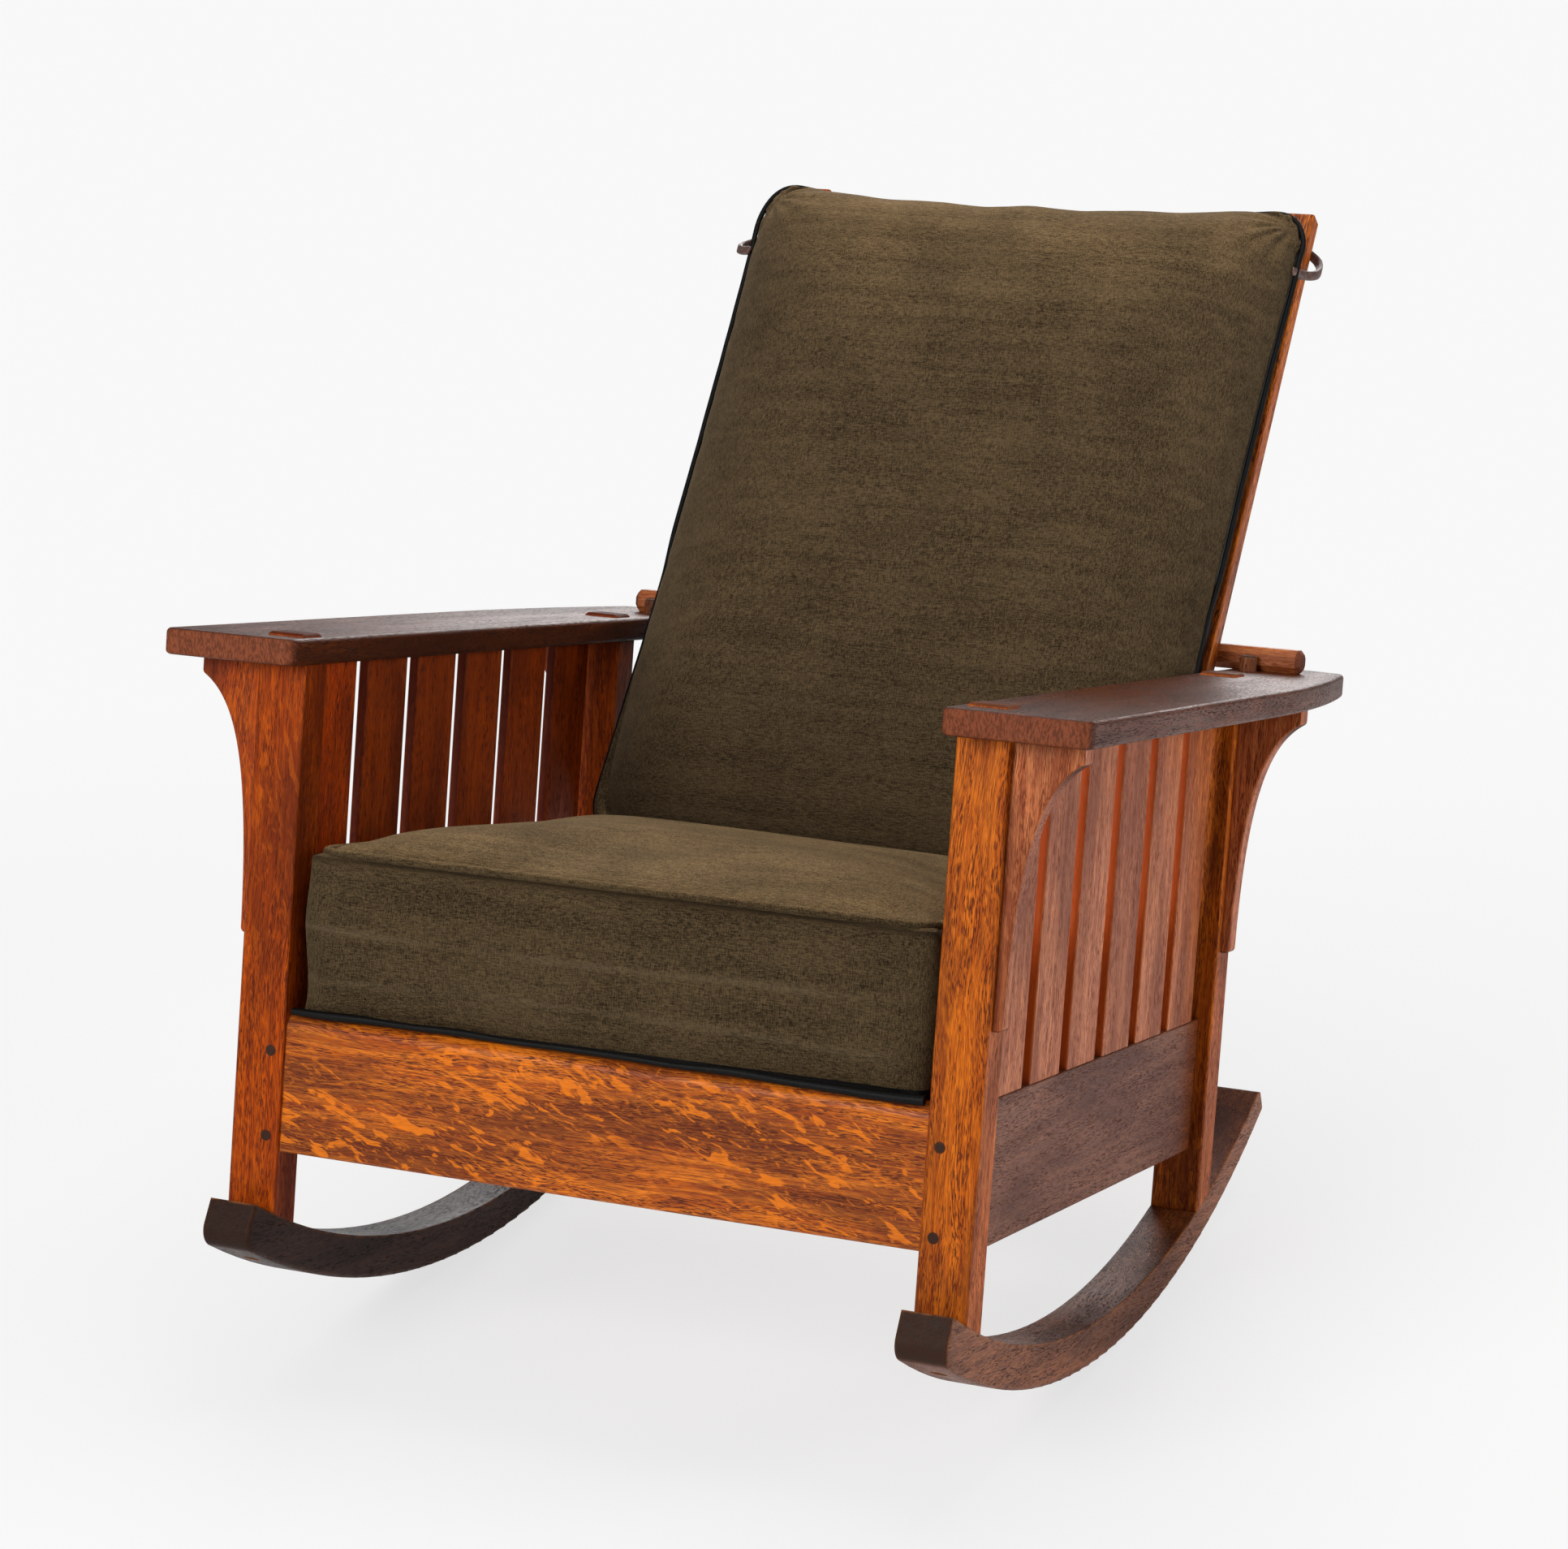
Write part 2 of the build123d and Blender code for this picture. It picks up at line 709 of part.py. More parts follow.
# Pivot pins, each with a collar between the post and the side rail
for side, hand in sides:
    with BuildPart() as pivot_pin:
        with BuildSketch(beside(side * post_inner)):
            with Locations((pivot_back, pivot_height)):
                Circle(pivot_pin_radius)
        extrude(amount=side * (side_rail_inner + pivot_pin_seat - post_inner))
        with BuildSketch(beside(side * (post_outer + side_play))):
            with Locations((pivot_back, pivot_height)):
                Circle(collar_radius)
        extrude(amount=side * (side_rail_inner - post_outer - side_play))
        collar_rims = pivot_pin.edges().filter_by(GeomType.CIRCLE).sort_by(SortBy.RADIUS)[-2:]
        chamfer(collar_rims, collar_edge)
    pivot_pin.part.label = f"pivot_pin_{hand}"
    export_step(pivot_pin.part, f"parts/{pivot_pin.part.label}.step")

# Bar across the arms behind the posts
with BuildPart() as bar:
    block(
        (bar_right_lap - bar_left_lap) / 2,
        bar_front + bar_depth / 2,
        arm_top,
        bar_left_lap + 2 * arm_inner + bar_right_lap,
        bar_depth,
        bar_height,
    )
    chamfer(bar.edges().filter_by(to_the_right), bar_bevel)
    bar_ends = bar.faces().sort_by(to_the_right)
    chamfer(bar_ends[0].edges() + bar_ends[-1].edges(), bar_end_bevel)
bar.part.label = "support_bar"
export_step(bar.part, "parts/support_bar.step")

# Pegs in the arms, ahead of the bar and behind it
with BuildPart() as pegs:
    for side, hand in sides:
        for peg_back in (peg_front, peg_rear):
            rod(side * peg_middle, peg_back, leg_height, peg_radius, arm_thickness + peg_proud)
    peg_tops = pegs.faces().filter_by(up_the_legs).group_by(up_the_legs)[-1]
    fillet(peg_tops.edges(), peg_round)
pegs.part.label = "bar_pegs"
export_step(pegs.part, "parts/bar_pegs.step")


def pad_outline(plane, half_width, low, high, draw, corner):
    """Outline of a pad: four shallow arcs that pull in between rounded corners."""
    middle = (low + high) / 2
    with BuildSketch(plane) as outline:
        with BuildLine():
            ThreePointArc((-half_width, low), (0, low + draw), (half_width, low))
            ThreePointArc((half_width, low), (half_width - draw, middle), (half_width, high))
            ThreePointArc((half_width, high), (0, high - draw), (-half_width, high))
            ThreePointArc((-half_width, high), (-half_width + draw, middle), (-half_width, low))
        make_face()
        fillet(outline.vertices(), corner)
    return outline.sketch


# Seat cushion: a boxed pad with a seam round its top, and a crown that is fullest ahead of
# the middle
fall = atan2(seat_fall, seat_length)
seat_slope = Plane(
    place(0, seat_front, seat_base + seat_height),
    x_dir=chair.x_dir,
    z_dir=chair.z_dir * cos(fall) + chair.y_dir * sin(fall),
)
seat_under = Plane(place(0, seat_front, seat_base), x_dir=chair.x_dir, z_dir=chair.z_dir)
seat_belly = Plane(
    (seat_under.origin + seat_slope.origin) / 2,
    x_dir=chair.x_dir,
    z_dir=seat_under.z_dir + seat_slope.z_dir,
)


def seat_outline(plane, front_tuck, rear_tuck, side_tuck, wall):
    """One outline of the seat cushion, drawn in from its full plan at each side."""
    return pad_outline(
        plane,
        seat_half - side_tuck - wall,
        front_tuck + wall,
        seat_length - rear_tuck - wall,
        seat_draw,
        seat_corner - wall,
    )


def seat_body(wall, mode):
    """The seat cushion's solid, a wall's thickness inside its outer shape."""
    boxing = [
        seat_outline(seat_under.offset(wall), seat_foot_tuck, seat_foot_tuck, seat_foot_tuck, wall),
        seat_outline(seat_belly, 0, 0, 0, wall),
        seat_outline(seat_slope, seat_seam_tuck, seat_seam_tuck, seat_seam_tuck, wall),
    ]
    loft(boxing, mode=mode)
    crown = [
        seat_outline(
            seat_slope.offset((seat_crown - wall) * rise_share),
            seat_seam_tuck + seat_length * front_share,
            seat_seam_tuck + seat_length * rear_share,
            seat_seam_tuck + seat_half * side_share,
            wall,
        )
        for rise_share, front_share, rear_share, side_share in zip(
            seat_crown_shares,
            seat_front_tuck_shares,
            seat_rear_tuck_shares,
            seat_side_tuck_shares,
        )
    ]
    loft(crown, mode=mode)


with BuildPart() as seat_cushion:
    seat_body(0, Mode.ADD)
    seat_body(seat_wall, Mode.SUBTRACT)
seat_cushion.part.label = "seat_cushion"
export_step(seat_cushion.part, "parts/seat_cushion.step")


def pillow_outline(ahead, side_tuck, top_tuck, foot_tuck, wall):
    """One outline of the back cushion, drawn in from its full size at each side."""
    return pad_outline(
        along_back(pillow_rear + ahead),
        pillow_half - side_tuck - wall,
        pillow_foot + foot_tuck + wall,
        pillow_top - top_tuck - wall,
        pillow_draw,
        pillow_corner - wall,
    )


def pillow_body(wall, mode):
    """The back cushion's solid, a wall's thickness inside its outer shape."""
    rear_tucks = (pillow_rear_tuck,) * 3
    rear_half = [
        pillow_outline(wall, *rear_tucks, wall),
        pillow_outline(pillow_seam, 0, 0, 0, wall),
    ]
    loft(rear_half, mode=mode)
    front_half = [
        pillow_outline(pillow_seam + (pillow_thickness - pillow_seam - wall) * share, *tucks, wall)
        for share, *tucks in zip(
            pillow_front_shares, pillow_side_tucks, pillow_top_tucks, pillow_foot_tucks
        )
    ]
    loft(front_half, mode=mode)


# Back cushion, widest at the seam near its rear face and crowned in front
with BuildPart() as back_cushion:
    pillow_body(0, Mode.ADD)
    pillow_body(pillow_wall, Mode.SUBTRACT)
back_cushion.part.label = "back_cushion"
export_step(back_cushion.part, "parts/back_cushion.step")

# Leather loops round the posts, sewn to the back cushion's rear edge
loop_half = post_width / 2 + loop_gap + loop_radius
loop_reach = pillow_rear + post_thickness / 2 + loop_slack - loop_radius
loop_up = post_length - back_slat_high + back_slat_width / 2 + loop_gap + loop_radius
for side, hand in sides:
    loop_start = place(side * post_middle, pivot_back, pivot_height)
    loop_start += up_the_posts * loop_up + ahead_of_posts * pillow_rear
    loop_plane = Plane(loop_start, x_dir=chair.x_dir, z_dir=up_the_posts)
    with BuildPart() as loop:
        with BuildLine(loop_plane) as loop_path:
            FilletPolyline(
                (-loop_half, 0),
                (-loop_half, loop_reach),
                (loop_half, loop_reach),
                (loop_half, 0),
                radius=loop_bend,
            )
        with BuildSketch(Plane(loop_path.line @ 0, z_dir=loop_path.line % 0)):
            Circle(loop_radius)
        sweep()
    loop.part.label = f"cushion_loop_{hand}"
    export_step(loop.part, f"parts/{loop.part.label}.step")
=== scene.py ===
import json
import math

import bmesh
import bpy
import numpy as np
from mathutils import Matrix, Vector


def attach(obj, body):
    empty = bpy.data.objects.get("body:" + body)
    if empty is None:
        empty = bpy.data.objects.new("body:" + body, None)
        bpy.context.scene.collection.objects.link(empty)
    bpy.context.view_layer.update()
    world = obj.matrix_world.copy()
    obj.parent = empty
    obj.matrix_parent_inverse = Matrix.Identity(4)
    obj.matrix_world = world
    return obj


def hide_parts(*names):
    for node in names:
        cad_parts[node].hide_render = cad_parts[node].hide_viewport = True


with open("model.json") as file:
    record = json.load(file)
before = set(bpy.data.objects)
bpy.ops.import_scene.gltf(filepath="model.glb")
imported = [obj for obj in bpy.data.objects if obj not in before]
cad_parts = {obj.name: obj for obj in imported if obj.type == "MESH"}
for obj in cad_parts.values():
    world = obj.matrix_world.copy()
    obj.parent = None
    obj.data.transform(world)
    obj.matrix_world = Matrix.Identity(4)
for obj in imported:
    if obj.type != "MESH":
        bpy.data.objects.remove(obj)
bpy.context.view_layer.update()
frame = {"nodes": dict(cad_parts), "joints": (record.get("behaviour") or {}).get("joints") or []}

scene = bpy.context.scene
nodes = frame["nodes"]

# ---------------------------------------------------------------- the chair's own frame
# The chair rests rocked back on its rockers. Places below are in the chair's own frame,
# with the legs upright, and in_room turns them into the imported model's frame.
LEAN = math.radians(10.83)
RECLINE = math.radians(28.3)
PIVOT_IN_CHAIR = Vector((0.0, 0.517, 0.2235))
pivot = Vector(next(j["pos_m"] for j in frame["joints"] if j["name"] == "back_tilt"))
chair_axes = Matrix.Rotation(-LEAN, 3, "X")
ACROSS = chair_axes @ Vector((1, 0, 0))
DEPTH = chair_axes @ Vector((0, 1, 0))
UPRIGHT = chair_axes @ Vector((0, 0, 1))
ALONG_POST = chair_axes @ Vector((0, math.sin(RECLINE), math.cos(RECLINE)))
BEHIND_POST = chair_axes @ Vector((0, math.cos(RECLINE), -math.sin(RECLINE)))


def in_room(x, y, z):
    """A place in the chair's own frame, in metres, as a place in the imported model's frame."""
    return pivot + chair_axes @ (Vector((x, y, z)) - PIVOT_IN_CHAIR)


def on_back(x, u, d):
    """A place on the back frame: across, up the posts from the pivot, and behind the posts' middle."""
    return pivot + ACROSS * x + ALONG_POST * u + BEHIND_POST * d


def chair_places(co):
    """Rows of room places as rows of places in the chair's own frame."""
    turn = np.array(chair_axes)
    return (co - np.array(pivot)) @ turn + np.array(PIVOT_IN_CHAIR)


def room_places(co):
    """Rows of places in the chair's own frame as rows of room places."""
    turn = np.array(chair_axes)
    return (co - np.array(PIVOT_IN_CHAIR)) @ turn.T + np.array(pivot)


back_axes = np.array([list(ACROSS), list(ALONG_POST), list(BEHIND_POST)])


def back_places(co):
    """Rows of room places as rows of places on the back frame."""
    return (co - np.array(pivot)) @ back_axes.T


def room_from_back(co):
    """Rows of places on the back frame as rows of room places."""
    return co @ back_axes + np.array(pivot)


# ---------------------------------------------------------------- drawing shader trees
class Graph:
    """A node tree being drawn: each call adds one node, with its settings and its inputs."""

    def __init__(self, tree):
        self.tree = tree

    def add(self, kind, inputs=None, **settings):
        made = self.tree.nodes.new(kind)
        for name, value in settings.items():
            setattr(made, name, value)
        for socket, value in (inputs or {}).items():
            if isinstance(value, bpy.types.NodeSocket):
                self.tree.links.new(value, made.inputs[socket])
            else:
                made.inputs[socket].default_value = value
        return made

    def math(self, operation, a, b=0.0, clamp=False):
        return self.add("ShaderNodeMath", {0: a, 1: b}, operation=operation, use_clamp=clamp).outputs[0]

    def vector(self, operation, a, b=(0.0, 0.0, 0.0)):
        return self.add("ShaderNodeVectorMath", {0: a, 1: b}, operation=operation)

    def stretched(self, vector, scale):
        return self.vector("MULTIPLY", vector, scale).outputs[0]

    def noise(self, vector, scale, detail=2.0, roughness=0.5, distortion=0.0):
        made = self.add("ShaderNodeTexNoise", {"Vector": self.stretched(vector, scale), "Scale": 1.0,
                        "Detail": detail, "Roughness": roughness, "Distortion": distortion})
        return made.outputs["Fac"]

    def between(self, value, low, high, to_low=0.0, to_high=1.0):
        made = self.add("ShaderNodeMapRange", {"Value": value, "From Min": low, "From Max": high,
                        "To Min": to_low, "To Max": to_high}, interpolation_type="SMOOTHSTEP")
        return made.outputs["Result"]

    def mix(self, factor, a, b, blend="MIX"):
        made = self.add("ShaderNodeMix", data_type="RGBA", blend_type=blend)
        for socket, value in ((0, factor), (6, a), (7, b)):
            if isinstance(value, bpy.types.NodeSocket):
                self.tree.links.new(value, made.inputs[socket])
            else:
                made.inputs[socket].default_value = value
        return made.outputs[2]


def new_group(name, inputs, outputs):
    """An empty shader group with its named sockets, as a graph and its two ends."""
    tree = bpy.data.node_groups.new(name, "ShaderNodeTree")
    for socket, kind, value in inputs:
        made = tree.interface.new_socket(socket, in_out="INPUT", socket_type=kind)
        if value is not None:
            made.default_value = value
    for socket, kind in outputs:
        tree.interface.new_socket(socket, in_out="OUTPUT", socket_type=kind)
    graph = Graph(tree)
    return graph, graph.add("NodeGroupInput").outputs, graph.add("NodeGroupOutput")


def linear(red, green, blue):
    """A colour named by its screen values, 0 to 255, as the shader's linear colour."""
    return tuple(((c / 255 + 0.055) / 1.055) ** 2.4 if c > 10 else c / 255 / 12.92
                 for c in (red, green, blue)) + (1.0,)


FLOAT, VECTOR, COLOR = "NodeSocketFloat", "NodeSocketVector", "NodeSocketColor"
EDGE_PATCHES = (60, 60, 60)  # waves per metre of the patches in which edges are paler, from wear and painted highlight
EDGE_RAYS = 5  # samples that look for an edge


def draw_edge_wear_and_highlight():
    """Where a piece's edges are, for a paler colour there (wear, and on some pieces a painted
    highlight), and a normal that softens them.
    """
    g, given, out = new_group("edge_wear_and_highlight",
                              [("Vector", VECTOR, None), ("Radius", FLOAT, 0.003)],
                              [("Edge", FLOAT), ("Normal", VECTOR)])
    soft = g.add("ShaderNodeBevel", {"Radius": given["Radius"]}, samples=EDGE_RAYS).outputs[0]
    flat = g.add("ShaderNodeNewGeometry").outputs["Normal"]
    turn = g.math("SUBTRACT", 1.0, g.vector("DOT_PRODUCT", soft, flat).outputs["Value"])
    patchy = g.noise(given["Vector"], EDGE_PATCHES, 3)
    rubbed = g.math("MULTIPLY", g.between(turn, 0.01, 0.22), g.between(patchy, 0.3, 0.62))
    g.tree.links.new(rubbed, out.inputs["Edge"])
    g.tree.links.new(soft, out.inputs["Normal"])
    return g.tree


# The oak's figure, in waves per metre along the grain, across the wide face and through it
DRIFT = (5, 14, 14)
DRIFT_REACH = 0.024  # how far the grain wanders, in metres
STREAKS, FINE_STREAKS, TONES = (7, 300, 300), (26, 900, 900), (4, 20, 20)
PORES, PORE_BANDS = (105, 1400, 1400), (8, 130, 130)
LARGE_FLAKES, SMALL_FLAKES, FLAKE_GROUPS = (32, 110, 50), (85, 280, 150), (8, 16, 20)
END_RINGS = (60, 700, 220)


def draw_oak():
    """Quarter-sawn oak: X runs along the grain, Y across the wide face, Z through it."""
    g, given, out = new_group(
        "quarter_sawn_oak",
        [("Vector", VECTOR, None), ("Facing", VECTOR, None), ("Shift", VECTOR, (0, 0, 0)),
         ("Body", COLOR, (0.3, 0.1, 0.03, 1)), ("Light", COLOR, (0.5, 0.2, 0.05, 1)),
         ("Dark", COLOR, (0.1, 0.03, 0.01, 1)), ("Flake", COLOR, (0.6, 0.2, 0.02, 1)),
         ("End", COLOR, (0.05, 0.02, 0.01, 1)), ("Side", COLOR, (0.5, 0.1, 0.01, 1)),
         ("Sides", FLOAT, 0.0), ("Flakes", FLOAT, 1.0), ("Slant", FLOAT, 0.5)],
        [("Color", COLOR), ("Gloss", FLOAT), ("Height", FLOAT)])
    place = g.vector("ADD", given["Vector"], given["Shift"]).outputs[0]
    drift = g.add("ShaderNodeTexNoise", {"Vector": g.stretched(place, DRIFT), "Scale": 1.0,
                                         "Detail": 2.0}).outputs["Color"]
    drift = g.vector("SUBTRACT", drift, (0.5, 0.5, 0.5)).outputs[0]
    flow = g.vector("ADD", place, g.stretched(drift, (0.0, DRIFT_REACH, DRIFT_REACH))).outputs[0]
    streaks = g.noise(flow, STREAKS, 3, 0.65)
    fine = g.noise(flow, FINE_STREAKS, 2, 0.5)
    tone = g.noise(place, TONES, 3, 0.6)
    pores = g.between(g.noise(flow, PORES, 1, 0.5), 0.49, 0.58)
    pore_bands = g.between(g.noise(flow, PORE_BANDS, 2, 0.5), 0.34, 0.58)
    pores = g.math("MULTIPLY", pores, g.math("ADD", g.math("MULTIPLY", pore_bands, 0.6), 0.4))
    # ray flakes: slanting ragged patches, only on the wide faces
    slanted = g.add("ShaderNodeVectorRotate", {"Vector": flow, "Angle": given["Slant"]},
                    rotation_type="Z_AXIS").outputs[0]
    ragged = g.math("MULTIPLY", g.math("SUBTRACT", fine, 0.5), 0.09)
    large = g.math("ADD", g.noise(slanted, LARGE_FLAKES, 2, 0.55, 0.9), ragged)
    small = g.math("ADD", g.noise(slanted, SMALL_FLAKES, 2, 0.5, 0.9), ragged)
    groups = g.between(g.noise(place, FLAKE_GROUPS, 2), 0.36, 0.52)
    faint = g.math("MULTIPLY", g.between(small, 0.60, 0.63), 0.5)
    flakes = g.math("MAXIMUM", g.between(large, 0.560, 0.615), faint)
    facing = g.add("ShaderNodeSeparateXYZ", {0: given["Facing"]}).outputs
    wide_face = g.between(g.math("ABSOLUTE", facing["Z"]), 0.35, 0.85)
    shown = g.math("MULTIPLY", wide_face, given["Flakes"])
    flakes = g.math("MULTIPLY", g.math("MULTIPLY", flakes, groups), shown)
    end_face = g.between(g.math("ABSOLUTE", facing["X"]), 0.4, 0.8)
    narrow_face = g.between(g.math("ABSOLUTE", facing["Y"]), 0.6, 0.95)
    side_face = g.math("MULTIPLY", narrow_face, given["Sides"])
    colour = g.mix(g.between(streaks, 0.36, 0.64), given["Body"], given["Light"])
    colour = g.mix(g.math("MULTIPLY", g.between(fine, 0.46, 0.66), 0.55), colour, given["Dark"])
    colour = g.mix(g.math("MULTIPLY", g.between(tone, 0.40, 0.68), 0.72), colour, given["Dark"])
    colour = g.mix(g.math("MULTIPLY", flakes, 0.75), colour, given["Flake"])
    kept = g.math("SUBTRACT", 1.0, g.math("MULTIPLY", flakes, 0.65))
    colour = g.mix(g.math("MULTIPLY", g.math("MULTIPLY", pores, 0.9), kept), colour, given["Dark"])
    # the narrow faces can take a colour of their own: painted light on the lit side of the chair,
    # painted shade on the shaded side
    colour = g.mix(g.math("MULTIPLY", side_face, 0.75), colour, given["Side"])
    rings = g.between(g.noise(flow, END_RINGS, 2, 0.6), 0.4, 0.62)
    end_colour = g.mix(g.math("MULTIPLY", rings, 0.55), given["End"], given["Dark"])
    colour = g.mix(end_face, colour, end_colour)
    gloss = g.math("ADD", g.between(tone, 0.3, 0.7, 0.30, 0.42), g.math("MULTIPLY", pores, 0.25))
    gloss = g.math("ADD", gloss, g.math("MULTIPLY", end_face, 0.2), clamp=True)
    height = g.math("SUBTRACT", g.math("MULTIPLY", streaks, 0.4), pores)
    height = g.math("ADD", height, g.math("MULTIPLY", flakes, 0.25))
    g.tree.links.new(colour, out.inputs["Color"])
    g.tree.links.new(gloss, out.inputs["Gloss"])
    g.tree.links.new(height, out.inputs["Height"])
    return g.tree


# The chenille's threads, in waves per metre: slubs along each axis, pile, bands and crushed patches
SLUBS = dict(X=(150, 1300, 1300), Y=(1300, 190, 1300), Z=(1300, 1300, 190))
PILE, BANDS, CRUSH = (1300, 1300, 1300), (4, 75, 75), (12, 12, 12)


def draw_chenille():
    """Woven pile: slubs along three axes, of which each face shows the two that cross on it."""
    g, given, out = new_group("chenille_weave",
                              [("Vector", VECTOR, None), ("Facing", VECTOR, None),
                               ("Light", COLOR, (0.2, 0.15, 0.1, 1)),
                               ("Dark", COLOR, (0.1, 0.06, 0.03, 1))],
                              [("Color", COLOR), ("Height", FLOAT)])
    v = given["Vector"]
    facing = g.add("ShaderNodeSeparateXYZ", {0: given["Facing"]}).outputs
    slubs = 0.0
    for axis, fineness in SLUBS.items():
        along_face = g.math("SUBTRACT", 1.0, g.math("MULTIPLY", facing[axis], facing[axis]))
        slub = g.math("SUBTRACT", g.noise(v, fineness, 2, 0.6), 0.5)
        slubs = g.math("ADD", slubs, g.math("MULTIPLY", slub, along_face))
    pile = g.math("SUBTRACT", g.noise(v, PILE, 1, 0.5), 0.5)
    bands = g.between(g.noise(v, BANDS, 3, 0.6), 0.35, 0.65, -0.09, 0.09)
    crush = g.between(g.noise(v, CRUSH, 3, 0.6), 0.3, 0.7, -0.08, 0.08)
    weave = g.math("ADD", slubs, g.math("MULTIPLY", pile, 0.5))
    shade = g.math("ADD", g.between(weave, -0.3, 0.3), g.math("ADD", bands, crush), clamp=True)
    g.tree.links.new(g.mix(shade, given["Dark"], given["Light"]), out.inputs["Color"])
    g.tree.links.new(weave, out.inputs["Height"])
    return g.tree


edge_wear_and_highlight = draw_edge_wear_and_highlight()
quarter_sawn_oak = draw_oak()
chenille_weave = draw_chenille()


def new_material(name):
    """A new material with its graph and its one shader."""
    made = bpy.data.materials.new(name)
    made.use_nodes = True
    made.node_tree.nodes.clear()
    g = Graph(made.node_tree)
    shader = g.add("ShaderNodeBsdfPrincipled")
    g.add("ShaderNodeOutputMaterial", {"Surface": shader.outputs[0]})
    return made, g, shader


# colours of the wood: body, light, dark, flake and end-grain colours; the shaded copies are painted
# darker for parts that stand in shade, the lit ones paler for parts in light
ORANGE_OAK = dict(Body=linear(168, 76, 16), Light=linear(222, 120, 28), Dark=linear(78, 28, 8),
                  Flake=linear(232, 122, 12), End=linear(70, 34, 18))
# painted shade: a darker, redder copy of the legs' oak for the left legs and corbels, which stand in
# shade
SHADED_RED_OAK = dict(Body=linear(152, 56, 3), Light=linear(184, 78, 6), Dark=linear(80, 24, 2),
               Flake=linear(206, 98, 12), End=linear(62, 22, 6))
LEG_OAK = dict(Body=linear(182, 84, 14), Light=linear(214, 112, 24), Dark=linear(84, 30, 8),
               Flake=linear(222, 120, 22), End=linear(90, 50, 28))
# painted shade: a darker copy for the left slats, whose inner faces stand in shade under the arm
SHADED_DEEP_OAK = dict(Body=linear(158, 58, 3), Light=linear(182, 74, 5), Dark=linear(84, 24, 2),
                Flake=linear(176, 76, 6), End=linear(40, 16, 4))
BROWN_OAK = dict(Body=linear(172, 86, 40), Light=linear(208, 124, 72), Dark=linear(104, 44, 20),
                 Flake=linear(190, 118, 70), End=linear(52, 28, 16))
RAIL_OAK = dict(Body=linear(112, 58, 30), Light=linear(132, 74, 42), Dark=linear(70, 30, 16),
                Flake=linear(124, 80, 52), End=linear(44, 26, 16))
ARM_OAK = dict(Body=linear(86, 38, 14), Light=linear(106, 50, 20), Dark=linear(52, 21, 8),
               Flake=linear(112, 58, 30), End=linear(126, 66, 40))
ROCKER_OAK = dict(Body=linear(128, 66, 30), Light=linear(156, 90, 48), Dark=linear(60, 28, 14),
                  Flake=linear(146, 92, 56), End=linear(46, 30, 20))
# painted shade: the left rocker's inner face, dark because it stands in shade under the chair
SHADED_ROCKER_OAK = dict(Body=linear(56, 26, 12), Light=linear(76, 38, 20), Dark=linear(30, 13, 7),
                        Flake=linear(90, 50, 28), End=linear(44, 24, 14))
LIT_OAK = dict(SHADED_DEEP_OAK, Body=linear(206, 70, 3), Light=linear(230, 90, 5))
# painted light: the bar's oak is painted paler than the legs' oak, to make up for the shade it stands
# in
LIT_BAR_OAK = dict(Body=linear(206, 112, 52), Light=linear(232, 144, 82), Dark=linear(120, 58, 30),
               Flake=linear(236, 150, 84), End=linear(84, 42, 28))
DECK_OAK = dict(Body=linear(150, 96, 54), Light=linear(176, 120, 74), Dark=linear(104, 62, 34),
                Flake=linear(190, 134, 80), End=linear(96, 62, 38))
# edge colours: wear; the pale one is also a painted highlight along the front rail's and the right
# slats' edges
PALE_WEAR_AND_HIGHLIGHT, ORANGE_RUB, BROWN_RUB = linear(206, 142, 96), linear(186, 92, 34), linear(140, 84, 54)
ROCKER_RUB = linear(184, 112, 62)
GRAIN_DEPTH, PILE_DEPTH, THREAD_DEPTH = 0.0004, 0.0009, 0.0005  # of the bumps, in metres


def oak(name, along, width, oak_colours, shift=(0, 0, 0), flakes=1.0, slant=0.5,
        wear_and_highlight=ORANGE_RUB, radius=0.0025, wear_and_highlight_strength=0.5, shine=0.16, side=None):
    """A wood material whose grain runs along one direction and whose wide face spans another."""
    made, g, shader = new_material(name)
    thickness = along.cross(width)
    turn = Matrix((along, width, thickness)).to_euler("XYZ")
    here = g.add("ShaderNodeTexCoord").outputs
    place = g.add("ShaderNodeMapping", {"Vector": here["Object"], "Rotation": turn}).outputs[0]
    facing = g.add("ShaderNodeMapping", {"Vector": here["Normal"], "Rotation": turn},
                   vector_type="VECTOR").outputs[0]
    figure = g.add("ShaderNodeGroup", node_tree=quarter_sawn_oak)
    edges = g.add("ShaderNodeGroup", node_tree=edge_wear_and_highlight)
    g.tree.links.new(place, figure.inputs["Vector"])
    g.tree.links.new(facing, figure.inputs["Facing"])
    g.tree.links.new(place, edges.inputs["Vector"])
    for socket, value in dict(oak_colours, Shift=shift, Flakes=flakes, Slant=slant).items():
        figure.inputs[socket].default_value = value
    # a colour of its own on the narrow faces, painted for the light and shade on them
    if side is not None:
        figure.inputs["Side"].default_value = side
        figure.inputs["Sides"].default_value = 1.0
    edges.inputs["Radius"].default_value = radius
    rubbed = g.math("MULTIPLY", edges.outputs["Edge"], wear_and_highlight_strength)
    colour = g.mix(rubbed, figure.outputs["Color"], wear_and_highlight)
    bump = g.add("ShaderNodeBump", {"Height": figure.outputs["Height"], "Strength": 0.35,
                                    "Distance": GRAIN_DEPTH, "Normal": edges.outputs["Normal"]})
    g.tree.links.new(colour, shader.inputs["Base Color"])
    g.tree.links.new(figure.outputs["Gloss"], shader.inputs["Roughness"])
    g.tree.links.new(bump.outputs[0], shader.inputs["Normal"])
    shader.inputs["Specular IOR Level"].default_value = shine
    return made


